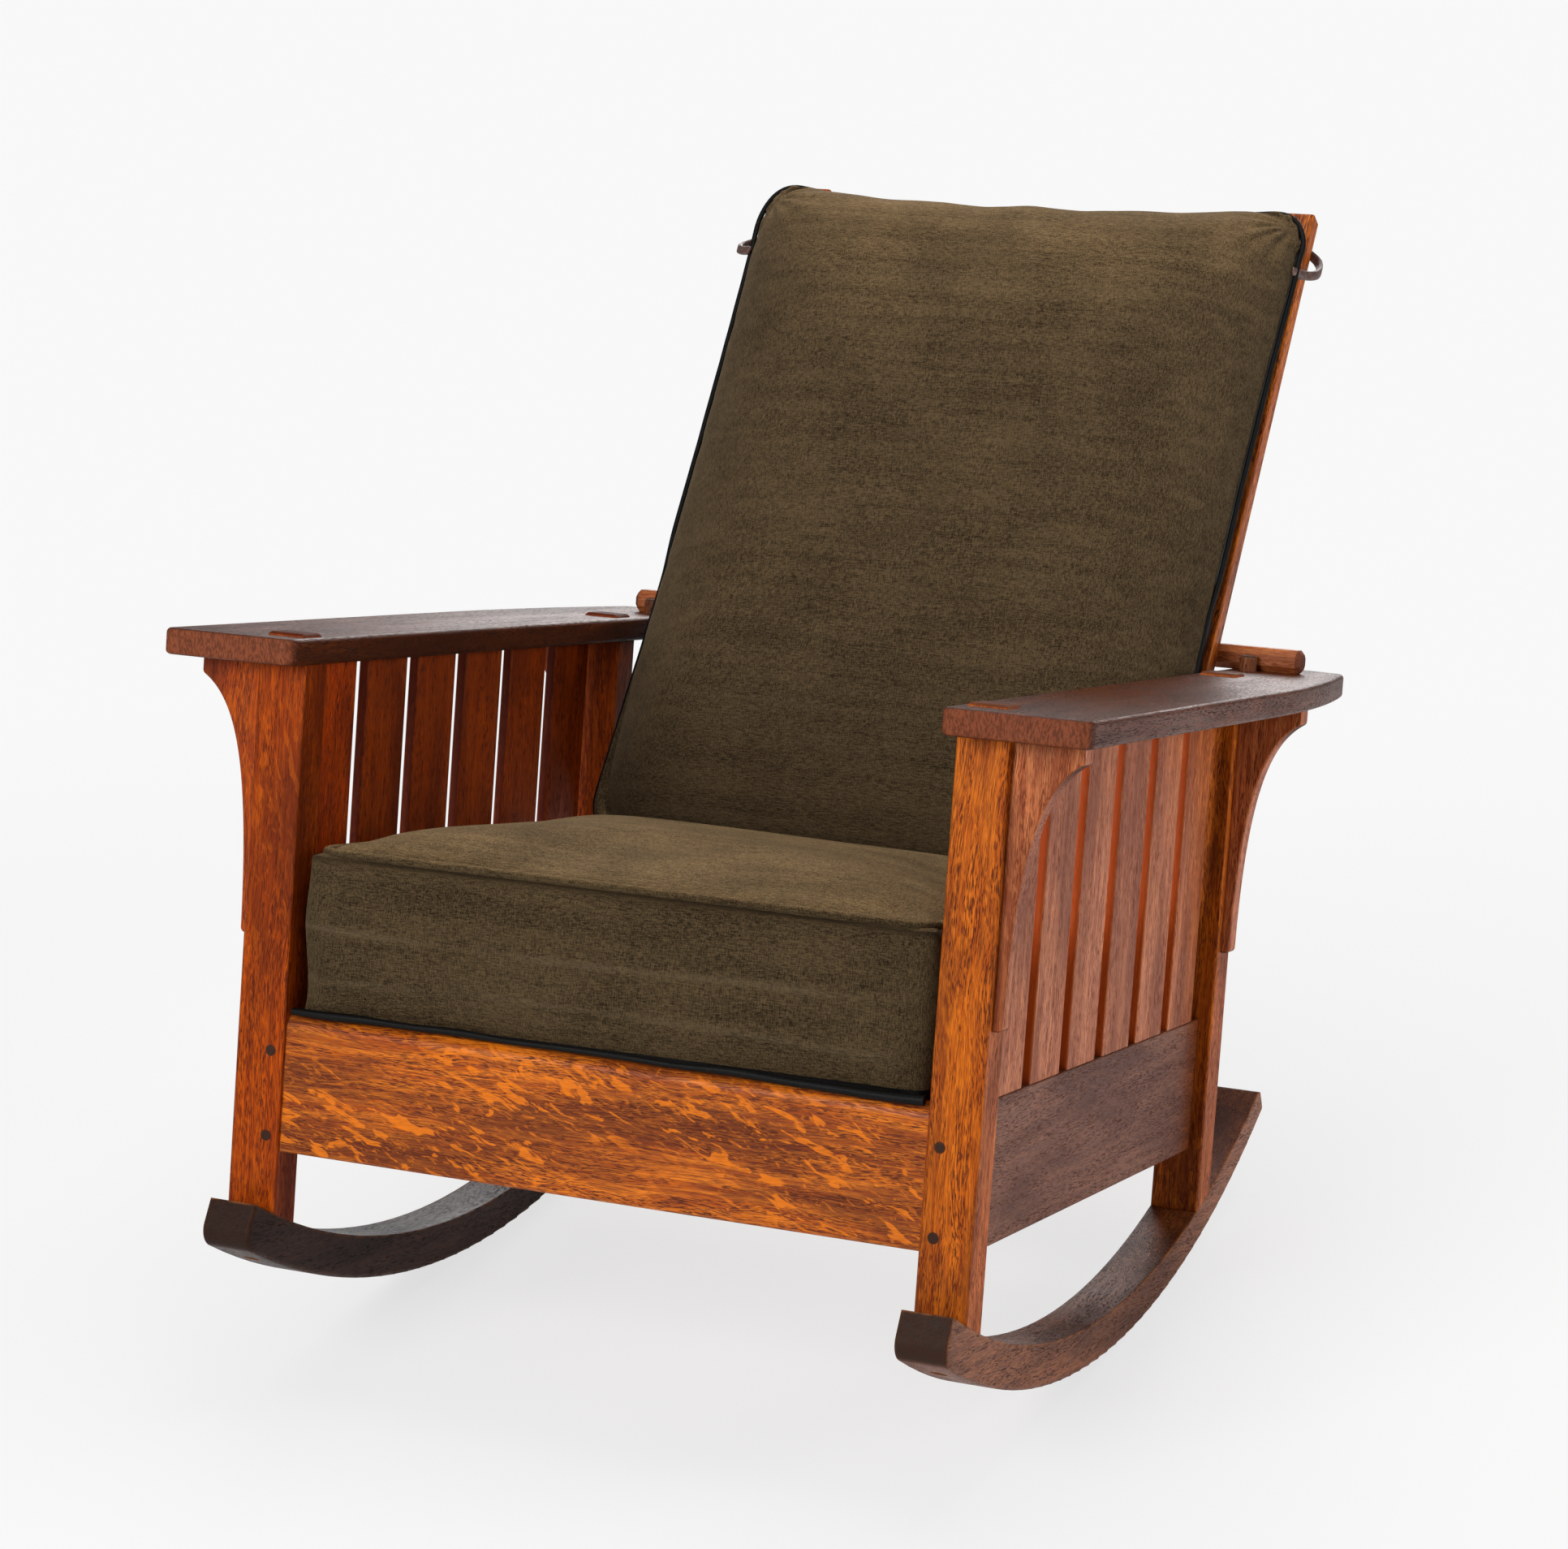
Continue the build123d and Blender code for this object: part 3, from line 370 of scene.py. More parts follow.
def finish_node(name, material):
    """Gives a CAD node its material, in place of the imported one."""
    node = nodes[name]
    if not node.material_slots:
        node.data.materials.append(material)
    for held in node.material_slots:
        held.material = material


CREASE_PALE, SHEEN_TINT = linear(120, 104, 80), linear(196, 170, 134)
# patches in which the painted sheen on the cushions' tops is stronger
SHEEN_PATCHES = (13, 13, 13)


def chenille(name, along, up, light, dark, top_sheen):
    """Chenille on a cushion. Its pile is painted paler where it faces up, a painted sheen, and paler
    where it is creased; along the seat's seam, under its welt, it has painted shade.
    """
    made, g, shader = new_material(name)
    turn = Matrix((along, up, along.cross(up))).to_euler("XYZ")
    here = g.add("ShaderNodeTexCoord").outputs
    place = g.add("ShaderNodeMapping", {"Vector": here["Object"], "Rotation": turn}).outputs[0]
    facing = g.add("ShaderNodeMapping", {"Vector": here["Normal"], "Rotation": turn},
                   vector_type="NORMAL").outputs[0]
    weave = g.add("ShaderNodeGroup", node_tree=chenille_weave)
    rubbed = g.add("ShaderNodeAttribute", attribute_name="crease").outputs["Fac"]
    seam_shade = g.add("ShaderNodeAttribute", attribute_name="seam_shade_mask").outputs["Fac"]
    g.tree.links.new(place, weave.inputs["Vector"])
    g.tree.links.new(facing, weave.inputs["Facing"])
    weave.inputs["Light"].default_value = light
    weave.inputs["Dark"].default_value = dark
    bump = g.add("ShaderNodeBump", {"Height": weave.outputs["Height"], "Strength": 0.7,
                                    "Distance": PILE_DEPTH})
    pale = g.mix(g.math("MULTIPLY", rubbed, 0.22), weave.outputs["Color"], CREASE_PALE)
    # painted sheen: the pile is painted paler where it faces up
    upward = g.between(g.vector("DOT_PRODUCT", here["Normal"], UPRIGHT).outputs["Value"], 0.3, 0.98)
    patches = g.between(g.noise(here["Object"], SHEEN_PATCHES, 3), 0.3, 0.7, 0.55, 1.0)
    painted_sheen = g.math("MULTIPLY", upward, patches)
    colour = g.mix(painted_sheen, pale, top_sheen, "MULTIPLY")
    # painted shade along the seam, under the welt
    g.tree.links.new(g.mix(g.math("MULTIPLY", seam_shade, 0.95), colour, dark), shader.inputs["Base Color"])
    g.tree.links.new(bump.outputs[0], shader.inputs["Normal"])
    shader.inputs["Roughness"].default_value = 0.92
    shader.inputs["Specular IOR Level"].default_value = 0.1
    shader.inputs["Sheen Weight"].default_value = 0.22
    shader.inputs["Sheen Roughness"].default_value = 0.4
    shader.inputs["Sheen Tint"].default_value = SHEEN_TINT
    return made


def plain_cloth(name, colour, other, scale):
    """Thin smooth cloth whose threads vary between two colours."""
    made, g, shader = new_material(name)
    here = g.add("ShaderNodeTexCoord").outputs["Object"]
    threads = g.noise(here, (scale, scale, scale), 1, 0.5)
    g.tree.links.new(g.mix(g.between(threads, 0.42, 0.6), colour, other), shader.inputs["Base Color"])
    bump = g.add("ShaderNodeBump", {"Height": threads, "Strength": 0.5, "Distance": THREAD_DEPTH})
    g.tree.links.new(bump.outputs[0], shader.inputs["Normal"])
    shader.inputs["Roughness"].default_value = 0.5
    shader.inputs["Specular IOR Level"].default_value = 0.12
    return made


# ---------------------------------------------------------------- wood of the CAD nodes
SIDES = ("left", "right")
SLATS_A_SIDE, BACK_SLATS = 6, 5
SIDE_SHIFT, SLAT_SHIFT = Vector((3.7, 1.3, 2.1)), Vector((0.61, 0.37, 0.9))
LADDER_SHIFT = Vector((0.83, 0.41, 0.7))
REAR_LEG_SHIFT, CORBEL_SHIFT, POST_SHIFT = Vector((5, 0, 0)), Vector((9, 0, 0)), Vector((7, 0, 0))
# the front rail's pale edges are wear and a painted highlight on its rounded top edge
front_oak = oak("oak_front_rail", ACROSS, UPRIGHT, ORANGE_OAK, slant=0.34, wear_and_highlight=PALE_WEAR_AND_HIGHLIGHT, wear_and_highlight_strength=0.9)
finish_node("front_rail", front_oak)
finish_node("rear_rail", oak("oak_rear_rail", ACROSS, UPRIGHT, ORANGE_OAK, shift=(1, 2, 3)))
# painted shade: the left side's legs, slats, rockers and corbels take darker copies of the oak, as they
# stand in shade
LEG_OAK_SHADED_LEFT = dict(left=SHADED_RED_OAK, right=LEG_OAK)
SLAT_OAK_SHADED_LEFT = dict(left=SHADED_DEEP_OAK, right=BROWN_OAK)
# the slats' narrow faces: painted shade on the left, painted light on the right
SLAT_SIDES_SHADED_LEFT_LIT_RIGHT = dict(left=linear(96, 26, 4), right=linear(206, 82, 16))
# the slats' edges: wear, and on the right a painted highlight
SLAT_EDGE_WEAR_AND_HIGHLIGHT = dict(left=ORANGE_RUB, right=PALE_WEAR_AND_HIGHLIGHT)
ROCKER_OAK_SHADED_LEFT = dict(left=SHADED_ROCKER_OAK, right=ROCKER_OAK)
CORBEL_OAK_SHADED_LEFT = dict(left=SHADED_RED_OAK, right=BROWN_OAK)
for number, side in enumerate(SIDES):
    away = SIDE_SHIFT * number
    leg = LEG_OAK_SHADED_LEFT[side]
    front_leg = oak(f"oak_front_leg_{side}", UPRIGHT, ACROSS, leg, away, 0.4, 0.25,
                    wear_and_highlight=BROWN_RUB, shine=0.1)
    rear_leg = oak(f"oak_rear_leg_{side}", UPRIGHT, ACROSS, leg, away + REAR_LEG_SHIFT, 0.4, 0.25,
                   shine=0.1)
    rail = oak(f"oak_side_rail_{side}", DEPTH, UPRIGHT, RAIL_OAK, away, 0.3, 0.2, wear_and_highlight=BROWN_RUB)
    arm = oak(f"oak_arm_{side}", DEPTH, ACROSS, ARM_OAK, away, 0.5, 0.3, wear_and_highlight=BROWN_RUB, shine=0.13)
    rocker = oak(f"oak_rocker_{side}", DEPTH, UPRIGHT, ROCKER_OAK_SHADED_LEFT[side], away, 0.2, 0.2,
                 wear_and_highlight=ROCKER_RUB, radius=0.004, wear_and_highlight_strength=0.9)
    corbel = oak(f"oak_corbel_{side}", UPRIGHT, ACROSS, CORBEL_OAK_SHADED_LEFT[side], away + CORBEL_SHIFT,
                 0.4, 0.25)
    post = oak(f"oak_back_post_{side}", ALONG_POST, ACROSS, ORANGE_OAK, away + POST_SHIFT, 0.4, 0.25)
    cleat = oak(f"deck_cleat_{side}", DEPTH, UPRIGHT, DECK_OAK, away, 0.3)
    finish_node(f"front_leg_{side}", front_leg)
    finish_node(f"rear_leg_{side}", rear_leg)
    finish_node(f"side_rail_{side}", rail)
    finish_node(f"arm_{side}", arm)
    finish_node(f"rocker_{side}", rocker)
    finish_node(f"front_corbel_{side}", corbel)
    finish_node(f"rear_corbel_{side}", corbel)
    finish_node(f"back_post_{side}", post)
    finish_node(f"seat_cleat_{side}", cleat)
    finish_node(f"pivot_pin_{side}", rail)
    for place in range(1, SLATS_A_SIDE + 1):
        # the slat next to the front leg stands in the light
        oak_colours = LIT_OAK if (side, place) == ("left", 1) else SLAT_OAK_SHADED_LEFT[side]
        slat = oak(f"oak_slat_{side}_{place}", UPRIGHT, DEPTH, oak_colours, away + SLAT_SHIFT * place,
                   0.35, 0.3, wear_and_highlight=SLAT_EDGE_WEAR_AND_HIGHLIGHT[side], wear_and_highlight_strength=0.8, side=SLAT_SIDES_SHADED_LEFT_LIT_RIGHT[side])
        finish_node(f"slat_{side}_{place}", slat)
for place in range(1, BACK_SLATS + 1):
    step = LADDER_SHIFT * place
    back_slat = oak(f"oak_back_slat_{place}", ACROSS, ALONG_POST, ORANGE_OAK, step, 0.8)
    seat_board = oak(f"deck_board_{place}", ACROSS, DEPTH, DECK_OAK, step, 0.3)
    finish_node(f"back_slat_{place}", back_slat)
    finish_node(f"seat_board_{place}", seat_board)
bar_oak = oak("oak_support_bar", ACROSS, UPRIGHT, LIT_BAR_OAK, (4, 4, 4), 0.3, radius=0.001, wear_and_highlight=PALE_WEAR_AND_HIGHLIGHT)
finish_node("support_bar", bar_oak)
finish_node("bar_pegs", oak("oak_pegs", UPRIGHT, ACROSS, ROCKER_OAK, (2, 2, 2), 0.0, wear_and_highlight=PALE_WEAR_AND_HIGHLIGHT))
finish_node("leg_pins", oak("oak_leg_pins", DEPTH, ACROSS, ROCKER_OAK, (6, 2, 2), 0.0, wear_and_highlight_strength=0.2))

RUST_SPOTS, LEATHER_CREASES, LEATHER_DEPTH = (600, 600, 600), (260, 260, 260), 0.0006
steel, g, shader = new_material("screw_steel_worn")
here = g.add("ShaderNodeTexCoord").outputs["Object"]
rust = g.noise(here, RUST_SPOTS, 3)
steel_colour = g.mix(g.between(rust, 0.4, 0.65), linear(70, 62, 56), linear(60, 36, 24))
g.tree.links.new(steel_colour, shader.inputs["Base Color"])
g.tree.links.new(g.between(rust, 0.4, 0.65, 0.4, 0.75), shader.inputs["Roughness"])
shader.inputs["Metallic"].default_value = 0.9
finish_node("rocker_screws", steel)

SEAT_LIGHT, SEAT_DARK = linear(87, 71, 48), linear(32, 22, 10)
BACK_LIGHT, BACK_DARK = linear(88, 72, 50), linear(34, 24, 12)
TOP_SHEEN = (2.9, 2.8, 2.65, 1.0)  # how many times paler the pile is painted where it faces up, a painted sheen
olive = chenille("chenille_seat", ACROSS, DEPTH, SEAT_LIGHT, SEAT_DARK, TOP_SHEEN)
olive_back = chenille("chenille_back", ACROSS, ALONG_POST, BACK_LIGHT, BACK_DARK, TOP_SHEEN)
lining = plain_cloth("lining_black", linear(4, 4, 4), linear(15, 14, 13), scale=900)

leather, g, shader = new_material("leather_loops")
here = g.add("ShaderNodeTexCoord").outputs["Object"]
creased = g.noise(here, LEATHER_CREASES, 4, 0.65)
leather_colour = g.mix(g.between(creased, 0.35, 0.65), linear(60, 40, 36), linear(100, 72, 64))
g.tree.links.new(leather_colour, shader.inputs["Base Color"])
bump = g.add("ShaderNodeBump", {"Height": creased, "Strength": 0.4, "Distance": LEATHER_DEPTH})
g.tree.links.new(bump.outputs[0], shader.inputs["Normal"])
shader.inputs["Roughness"].default_value = 0.45


# ---------------------------------------------------------------- cushions
AIR_PRESSURE, CLOTH_FRAMES, IRONING = 4.0, 20, 14
WELD = 1e-5  # points of a CAD skin this near to each other are one


def choose_only(piece):
    """Makes one piece the chosen and active one."""
    bpy.ops.object.select_all(action="DESELECT")
    piece.select_set(True)
    bpy.context.view_layer.objects.active = piece


def outer_skin(node_name, name):
    """A new piece from a soft CAD node: its outer skin alone, closed and merged."""
    mesh = nodes[node_name].data.copy()
    mesh.name = name
    mesh.materials.clear()
    piece = bpy.data.objects.new(name, mesh)
    scene.collection.objects.link(piece)
    work = bmesh.new()
    work.from_mesh(mesh)
    bmesh.ops.remove_doubles(work, verts=work.verts, dist=WELD)
    unseen, shells = set(work.verts), []
    while unseen:
        shell, edge = set(), [next(iter(unseen))]
        while edge:
            vert = edge.pop()
            if vert in shell:
                continue
            shell.add(vert)
            edge.extend(e.other_vert(vert) for e in vert.link_edges)
        unseen -= shell
        shells.append(shell)
    reach = [max(v.co.x for v in shell) for shell in shells]
    outer = shells[reach.index(max(reach))]
    bmesh.ops.delete(work, geom=[v for v in work.verts if v not in outer], context="VERTS")
    bmesh.ops.recalc_face_normals(work, faces=work.faces)
    work.to_mesh(mesh)
    work.free()
    return piece


def rows_of(items, name):
    """One vector of each vertex or face, as rows."""
    values = np.empty(len(items) * 3)
    items.foreach_get(name, values)
    return values.reshape(-1, 3)


def places_of(piece):
    return rows_of(piece.data.vertices, "co")


def put_places(piece, co):
    piece.data.vertices.foreach_set("co", co.astype(np.float32).ravel())
    piece.data.update()


def normals_of(piece):
    return rows_of(piece.data.vertices, "normal")


def apply_all(piece):
    choose_only(piece)
    for made in list(piece.modifiers):
        bpy.ops.object.modifier_apply(modifier=made.name)


def even_mesh(piece, voxel):
    """Draws a piece's skin anew, in faces of one size."""
    remesh = piece.modifiers.new("even", "REMESH")
    remesh.mode = "VOXEL"
    remesh.voxel_size = voxel
    apply_all(piece)


def fill_with_air(piece, cap, slack, seam):
    """Swells a closed cloth from its start shape, with no point moving further than the cap."""
    before = places_of(piece)
    held = piece.vertex_groups.new(name="seams")
    held.add([int(i) for i in np.nonzero(seam)[0]], 1.0, "REPLACE")
    cloth = piece.modifiers.new("filling", "CLOTH")
    settings = cloth.settings
    settings.quality = 4
    settings.mass = 0.4
    settings.use_pressure = True
    settings.uniform_pressure_force = AIR_PRESSURE
    settings.effector_weights.gravity = 0
    settings.tension_stiffness = 12
    settings.compression_stiffness = 12
    settings.shear_stiffness = 6
    settings.bending_stiffness = 0.35
    settings.shrink_min = -slack
    settings.vertex_group_mass = "seams"
    cloth.point_cache.frame_start = 1
    cloth.point_cache.frame_end = CLOTH_FRAMES
    for number in range(1, CLOTH_FRAMES + 1):
        scene.frame_set(number)
    bpy.context.view_layer.update()
    swollen = piece.evaluated_get(bpy.context.evaluated_depsgraph_get())
    moved = rows_of(swollen.data.vertices, "co") - before
    piece.modifiers.remove(cloth)
    piece.vertex_groups.remove(held)
    scene.frame_set(1)
    length = np.linalg.norm(moved, axis=1, keepdims=True)
    put_places(piece, before + moved * np.minimum(1, cap / np.maximum(length, 1e-9)))
    iron_out(piece, seam)


def iron_out(piece, seam):
    """Takes the small wrinkles out of a cloth, and leaves its seams where they are."""
    loose = piece.vertex_groups.new(name="loose")
    loose.add([int(i) for i in np.nonzero(seam < 0.5)[0]], 1.0, "REPLACE")
    smooth = piece.modifiers.new("ironing", "SMOOTH")
    smooth.factor, smooth.iterations, smooth.vertex_group = 0.5, IRONING, "loose"
    apply_all(piece)
    piece.vertex_groups.remove(piece.vertex_groups["loose"])


def subdivided(piece):
    """Makes a piece's faces four times as many, and rounds them."""
    finer = piece.modifiers.new("finer", "SUBSURF")
    finer.levels = finer.render_levels = 1
    apply_all(piece)


WAVES = 7  # of which smooth_noise is the mean


def smooth_noise(co, scale, seed):
    """Slow random waves over places, the same each run."""
    rng = np.random.default_rng(seed)
    total = np.zeros(len(co))
    for _ in range(WAVES):
        direction = rng.normal(size=3)
        direction *= scale / np.linalg.norm(direction) * rng.uniform(0.6, 1.4)
        total += np.sin(co @ direction + rng.uniform(0, 6.28))
    return total / WAVES


def bell(value, middle, width):
    """1 in the middle, falling away to 0 on both sides."""
    return np.exp(-((value - middle) / width) ** 2)


# The seat cushion's solid: its base, front, rear and half width, and its top seam's ends
SEAT_BASE, SEAT_FRONT, SEAT_REAR, SEAT_HALF = 0.2633, 0.003, 0.508, 0.284
SEAM_FRONT, SEAM_REAR = 0.4003, 0.3853
SEAM_HOLD, BASE_HOLD, SEAM_INSET = 0.004, 0.003, 0.014  # within these a cushion is held while it swells


def seat_seam_height(y):
    return SEAM_FRONT + (SEAM_REAR - SEAM_FRONT) * (y - SEAT_FRONT) / (SEAT_REAR - SEAT_FRONT)


def moved_out(piece, amount):
    """Moves each point along its normal."""
    put_places(piece, places_of(piece) + normals_of(piece) * amount[:, None])


def write_mask(piece, name, value):
    """Keeps one value a point with a piece, for its material."""
    held = piece.data.attributes.new(name, "FLOAT", "POINT")
    held.data.foreach_set("value", value.astype(np.float32))


# Seat cushion: boxed, with a welt round its top seam
SEAT_DRAWN_IN, SEAT_SWELL, SEAT_SLACK = 0.004, 0.010, 0.015
SEAT_SIDE = 0.2853  # half the room between the legs
GROOVE_DEPTH, GROOVE_WIDTH = 0.0040, 0.0055  # on both sides of the welt
PUCKER_PITCH, PUCKER_DEPTH, PUCKER_WIDTH = 0.021, 0.0008, 0.014
UNEVEN = 0.0018  # how far both cushions' faces wave
SEAT_CREASES = ((0.3375, 1.0), (0.2975, 0.7))  # heights and strengths of the boxing's creases
CREASE_DEPTH, CREASE_WIDTH, CREASE_BOW, CREASE_WOBBLE = 0.0009, 0.0028, 0.0022, 0.0015
CORNER, CORNER_SQUARE = 0.022, 6  # the boxing's front corners are nearly square
seat = outer_skin("seat_cushion", "seat_cushion_cover")
even_mesh(seat, voxel=0.006)
co = chair_places(places_of(seat))
corner_x, corner_y = SEAT_HALF - CORNER, SEAT_FRONT + CORNER
out_x, out_y = np.clip(np.abs(co[:, 0]) - corner_x, 0, 1), np.clip(corner_y - co[:, 1], 0, 1)
turn = np.arctan2(out_y, out_x)
squarer = (np.cos(turn) ** CORNER_SQUARE + np.sin(turn) ** CORNER_SQUARE) ** (-1 / CORNER_SQUARE)
co[:, 0] += np.sign(co[:, 0]) * out_x * (squarer - 1)
co[:, 1] -= out_y * (squarer - 1)
put_places(seat, room_places(co))
from_seam = co[:, 2] - seat_seam_height(co[:, 1])
from_base = co[:, 2] - SEAT_BASE
moved_out(seat, -SEAT_DRAWN_IN * (1 - bell(from_seam, 0, 0.012)) * (1 - bell(from_base, 0, 0.01)))
inset = np.minimum(co[:, 1] - SEAT_FRONT, SEAT_REAR - co[:, 1])
inset = np.minimum(SEAT_HALF - np.abs(co[:, 0]), inset)
held = np.where((np.abs(from_seam) < SEAM_HOLD) & (inset < SEAM_INSET), 1.0, 0.0)
held = np.where(from_base < BASE_HOLD, 1.0, held)
fill_with_air(seat, SEAT_SWELL, SEAT_SLACK, held)
subdivided(seat)
co = chair_places(places_of(seat))
facing = normals_of(seat) @ np.array(chair_axes)
from_seam = co[:, 2] - seat_seam_height(co[:, 1])
along = np.where(np.abs(facing[:, 0]) > 0.7, co[:, 1], co[:, 0])
puckers = np.sin(along * 2 * math.pi / PUCKER_PITCH + 5 * smooth_noise(co, 60, 3))
puckers *= smooth_noise(co, 90, 4)
sink = GROOVE_DEPTH * bell(from_seam, 0, GROOVE_WIDTH)
sink -= PUCKER_DEPTH * puckers * bell(from_seam, 0, PUCKER_WIDTH)
sink -= UNEVEN * smooth_noise(co, 22, 5) * (1 - bell(from_seam, 0, 0.02))
front = np.clip(-facing[:, 1] * 2 - 0.6, 0, 1)
crease = np.zeros(len(co))
for height, strength in SEAT_CREASES:
    line = height + CREASE_BOW * np.sin(co[:, 0] * 11 + height * 90)
    line += CREASE_WOBBLE * smooth_noise(co, 45, 6)
    broken = np.clip(0.75 + 1.3 * smooth_noise(co, 40, int(height * 1e4)), 0, 1)
    crease += strength * bell(co[:, 2], line, CREASE_WIDTH) * broken * front
sink -= CREASE_DEPTH * crease
moved_out(seat, -sink)
co = chair_places(places_of(seat))
co[:, 0] = np.clip(co[:, 0], -SEAT_SIDE, SEAT_SIDE)
co[:, 2] = np.maximum(co[:, 2], SEAT_BASE)
put_places(seat, room_places(co))
write_mask(seat, "crease", np.clip(crease, 0, 1))
# painted shade along the seam, under the welt
write_mask(seat, "seam_shade_mask", bell(from_seam, -0.003, 0.005))

# Back cushion: a loose pillow, chenille in front and black lining behind its seam
PILLOW_SEAM, PILLOW_TOP, PILLOW_REAR, PILLOW_SIDE = -0.0483, 0.8536, -0.0104, 0.286
BACK_DRAWN_IN, BACK_SWELL, BACK_SLACK = 0.006, 0.013, 0.03
# half widths at heights up the back; on the left the front falls away to the seam sooner,
# so that the black rim shows beside it
WIDTHS_AT, WIDTHS = zip((0.14, 0.270), (0.28, 0.272), (0.34, 0.2805), (0.38, 0.2805),
                        (0.44, 0.286), (0.62, 0.288), (0.80, 0.286), (0.86, 0.281))
LEFT_WIDTHS_AT, LEFT_WIDTHS = zip((0.14, 0.270), (0.28, 0.272), (0.34, 0.274), (0.62, 0.2745),
                                  (0.80, 0.280), (0.86, 0.281))
SIDE_WAVES = 0.0016
DOME_DEPTH, DOME_SQUARE, DOME_ROUND = 0.076, 12, 0.68
EARS, TOP_WAVES, TOP_PITCH = 0.011, 0.0020, 0.11  # the top seam's raised corners and its waves
FAN_X, FAN_U, FAN_FOLDS, FAN_DEPTH = 0.268, 0.842, 13, 0.0020  # folds that fan out of the top corners
PLEAT_PITCH, PLEAT_DEPTH = 0.036, 0.0014
ARM_LOW, ARM_HIGH, BETWEEN_ARMS = 0.535, 0.595, 0.2813  # where the cushion passes between the arms
back = outer_skin("back_cushion", "back_cushion_cover")
even_mesh(back, voxel=0.0065)
co = back_places(places_of(back))
from_seam = co[:, 2] - PILLOW_SEAM
rear = co[:, 2].max()
moved_out(back, -BACK_DRAWN_IN * (1 - bell(from_seam, 0, 0.014)))
held = np.where(np.abs(from_seam) < SEAM_HOLD, 1.0, 0.0)
held = np.where(co[:, 2] > rear - BASE_HOLD, 1.0, held)
fill_with_air(back, BACK_SWELL, BACK_SLACK, held)
subdivided(back)
co = back_places(places_of(back))
from_seam = co[:, 2] - PILLOW_SEAM
wide = np.interp(co[:, 1], WIDTHS_AT, WIDTHS)
wide += SIDE_WAVES * smooth_noise(co * [0, 1, 0], 42, 15) * (co[:, 0] > 0)
pulled_in = np.interp(co[:, 1], LEFT_WIDTHS_AT, LEFT_WIDTHS)
wide = np.where(co[:, 0] < 0, np.minimum(wide, pulled_in), wide)
# the front is one soft dome from seam to seam, like a knife edge at the sides
foot = co[:, 1].min()
middle, half_height = (PILLOW_TOP + foot) / 2, (PILLOW_TOP - foot) / 2
aside, aloft = np.abs(co[:, 0]) / wide, np.abs(co[:, 1] - middle) / half_height
reach = (aside ** DOME_SQUARE + aloft ** DOME_SQUARE) ** (1 / DOME_SQUARE)
dome = PILLOW_SEAM - DOME_DEPTH * (1 - np.clip(reach, 0, 1) ** 4) ** DOME_ROUND
into_front = np.clip(-from_seam / 0.012, 0, 1) * 0.9
co[:, 2] += (dome - co[:, 2]) * into_front
from_seam = co[:, 2] - PILLOW_SEAM
ahead_of_seam = np.clip(-from_seam, 0, 1)
corner = bell(np.abs(co[:, 0]), 0.262, 0.07) * np.clip((co[:, 1] - 0.78) / 0.07, 0, 1)
co[:, 1] += EARS * corner
top_zone = np.clip((co[:, 1] - 0.79) / 0.06, 0, 1)
ripple = np.sin(co[:, 0] * 2 * math.pi / TOP_PITCH + 1.1)
co[:, 1] += TOP_WAVES * top_zone * ripple * np.cos(co[:, 0] * 9)
put_places(back, room_from_back(co))
facing = normals_of(back) @ back_axes.T
ahead = np.clip(-facing[:, 2] * 1.5 + 0.4, 0, 1)
edge_gap = np.clip(PILLOW_SIDE - np.abs(co[:, 0]), 0, 1)
lift = UNEVEN * smooth_noise(co, 18, 11) * ahead * (1 - np.exp(-edge_gap / 0.03))
for side in (-1, 1):
    dx, du = co[:, 0] * side - FAN_X, co[:, 1] - FAN_U
    reach = np.hypot(dx, du)
    fan = np.sin(np.arctan2(du, dx) * FAN_FOLDS + 1.5 * side + 2 * smooth_noise(co, 30, 12))
    lift += FAN_DEPTH * fan * np.exp(-reach / 0.04) * np.clip(reach / 0.02, 0, 1)
pleats = np.sin(co[:, 1] * 2 * math.pi / PLEAT_PITCH + 6 * smooth_noise(co, 25, 13))
pleats *= np.clip(0.5 + 1.5 * smooth_noise(co, 30, 14), 0, 1) * (co[:, 0] > 0)
lift += PLEAT_DEPTH * pleats * np.exp(-edge_gap / 0.02) * np.clip(ahead_of_seam / 0.02, 0, 1)
moved_out(back, lift)
co = back_places(places_of(back))
co[:, 2] = np.minimum(co[:, 2], PILLOW_REAR)
level = chair_places(places_of(back))[:, 2]
at_arms = np.clip((level - ARM_LOW) / 0.01, 0, 1) * np.clip((ARM_HIGH - level) / 0.01, 0, 1)
limit = BETWEEN_ARMS + 0.02 * (1 - at_arms)
co[:, 0] = np.clip(co[:, 0], -limit, limit)
put_places(back, room_from_back(co))


def cut_across(piece, point, normal):
    """Cuts the piece's faces along a plane, so that a change of cloth has a clean line."""
    work = bmesh.new()
    work.from_mesh(piece.data)
    whole = work.verts[:] + work.edges[:] + work.faces[:]
    bmesh.ops.bisect_plane(work, geom=whole, plane_co=point, plane_no=normal)
    work.to_mesh(piece.data)
    work.free()


def line_faces(piece, is_lining):
    """Black lining on the faces that the test picks, chenille on the others."""
    chosen = is_lining(rows_of(piece.data.polygons, "center"))
    piece.data.polygons.foreach_set("material_index", chosen.astype(np.int32))
    piece.data.update()


for piece, cloth in ((seat, olive), (back, olive_back)):
    piece.data.materials.append(cloth)
    piece.data.materials.append(lining)
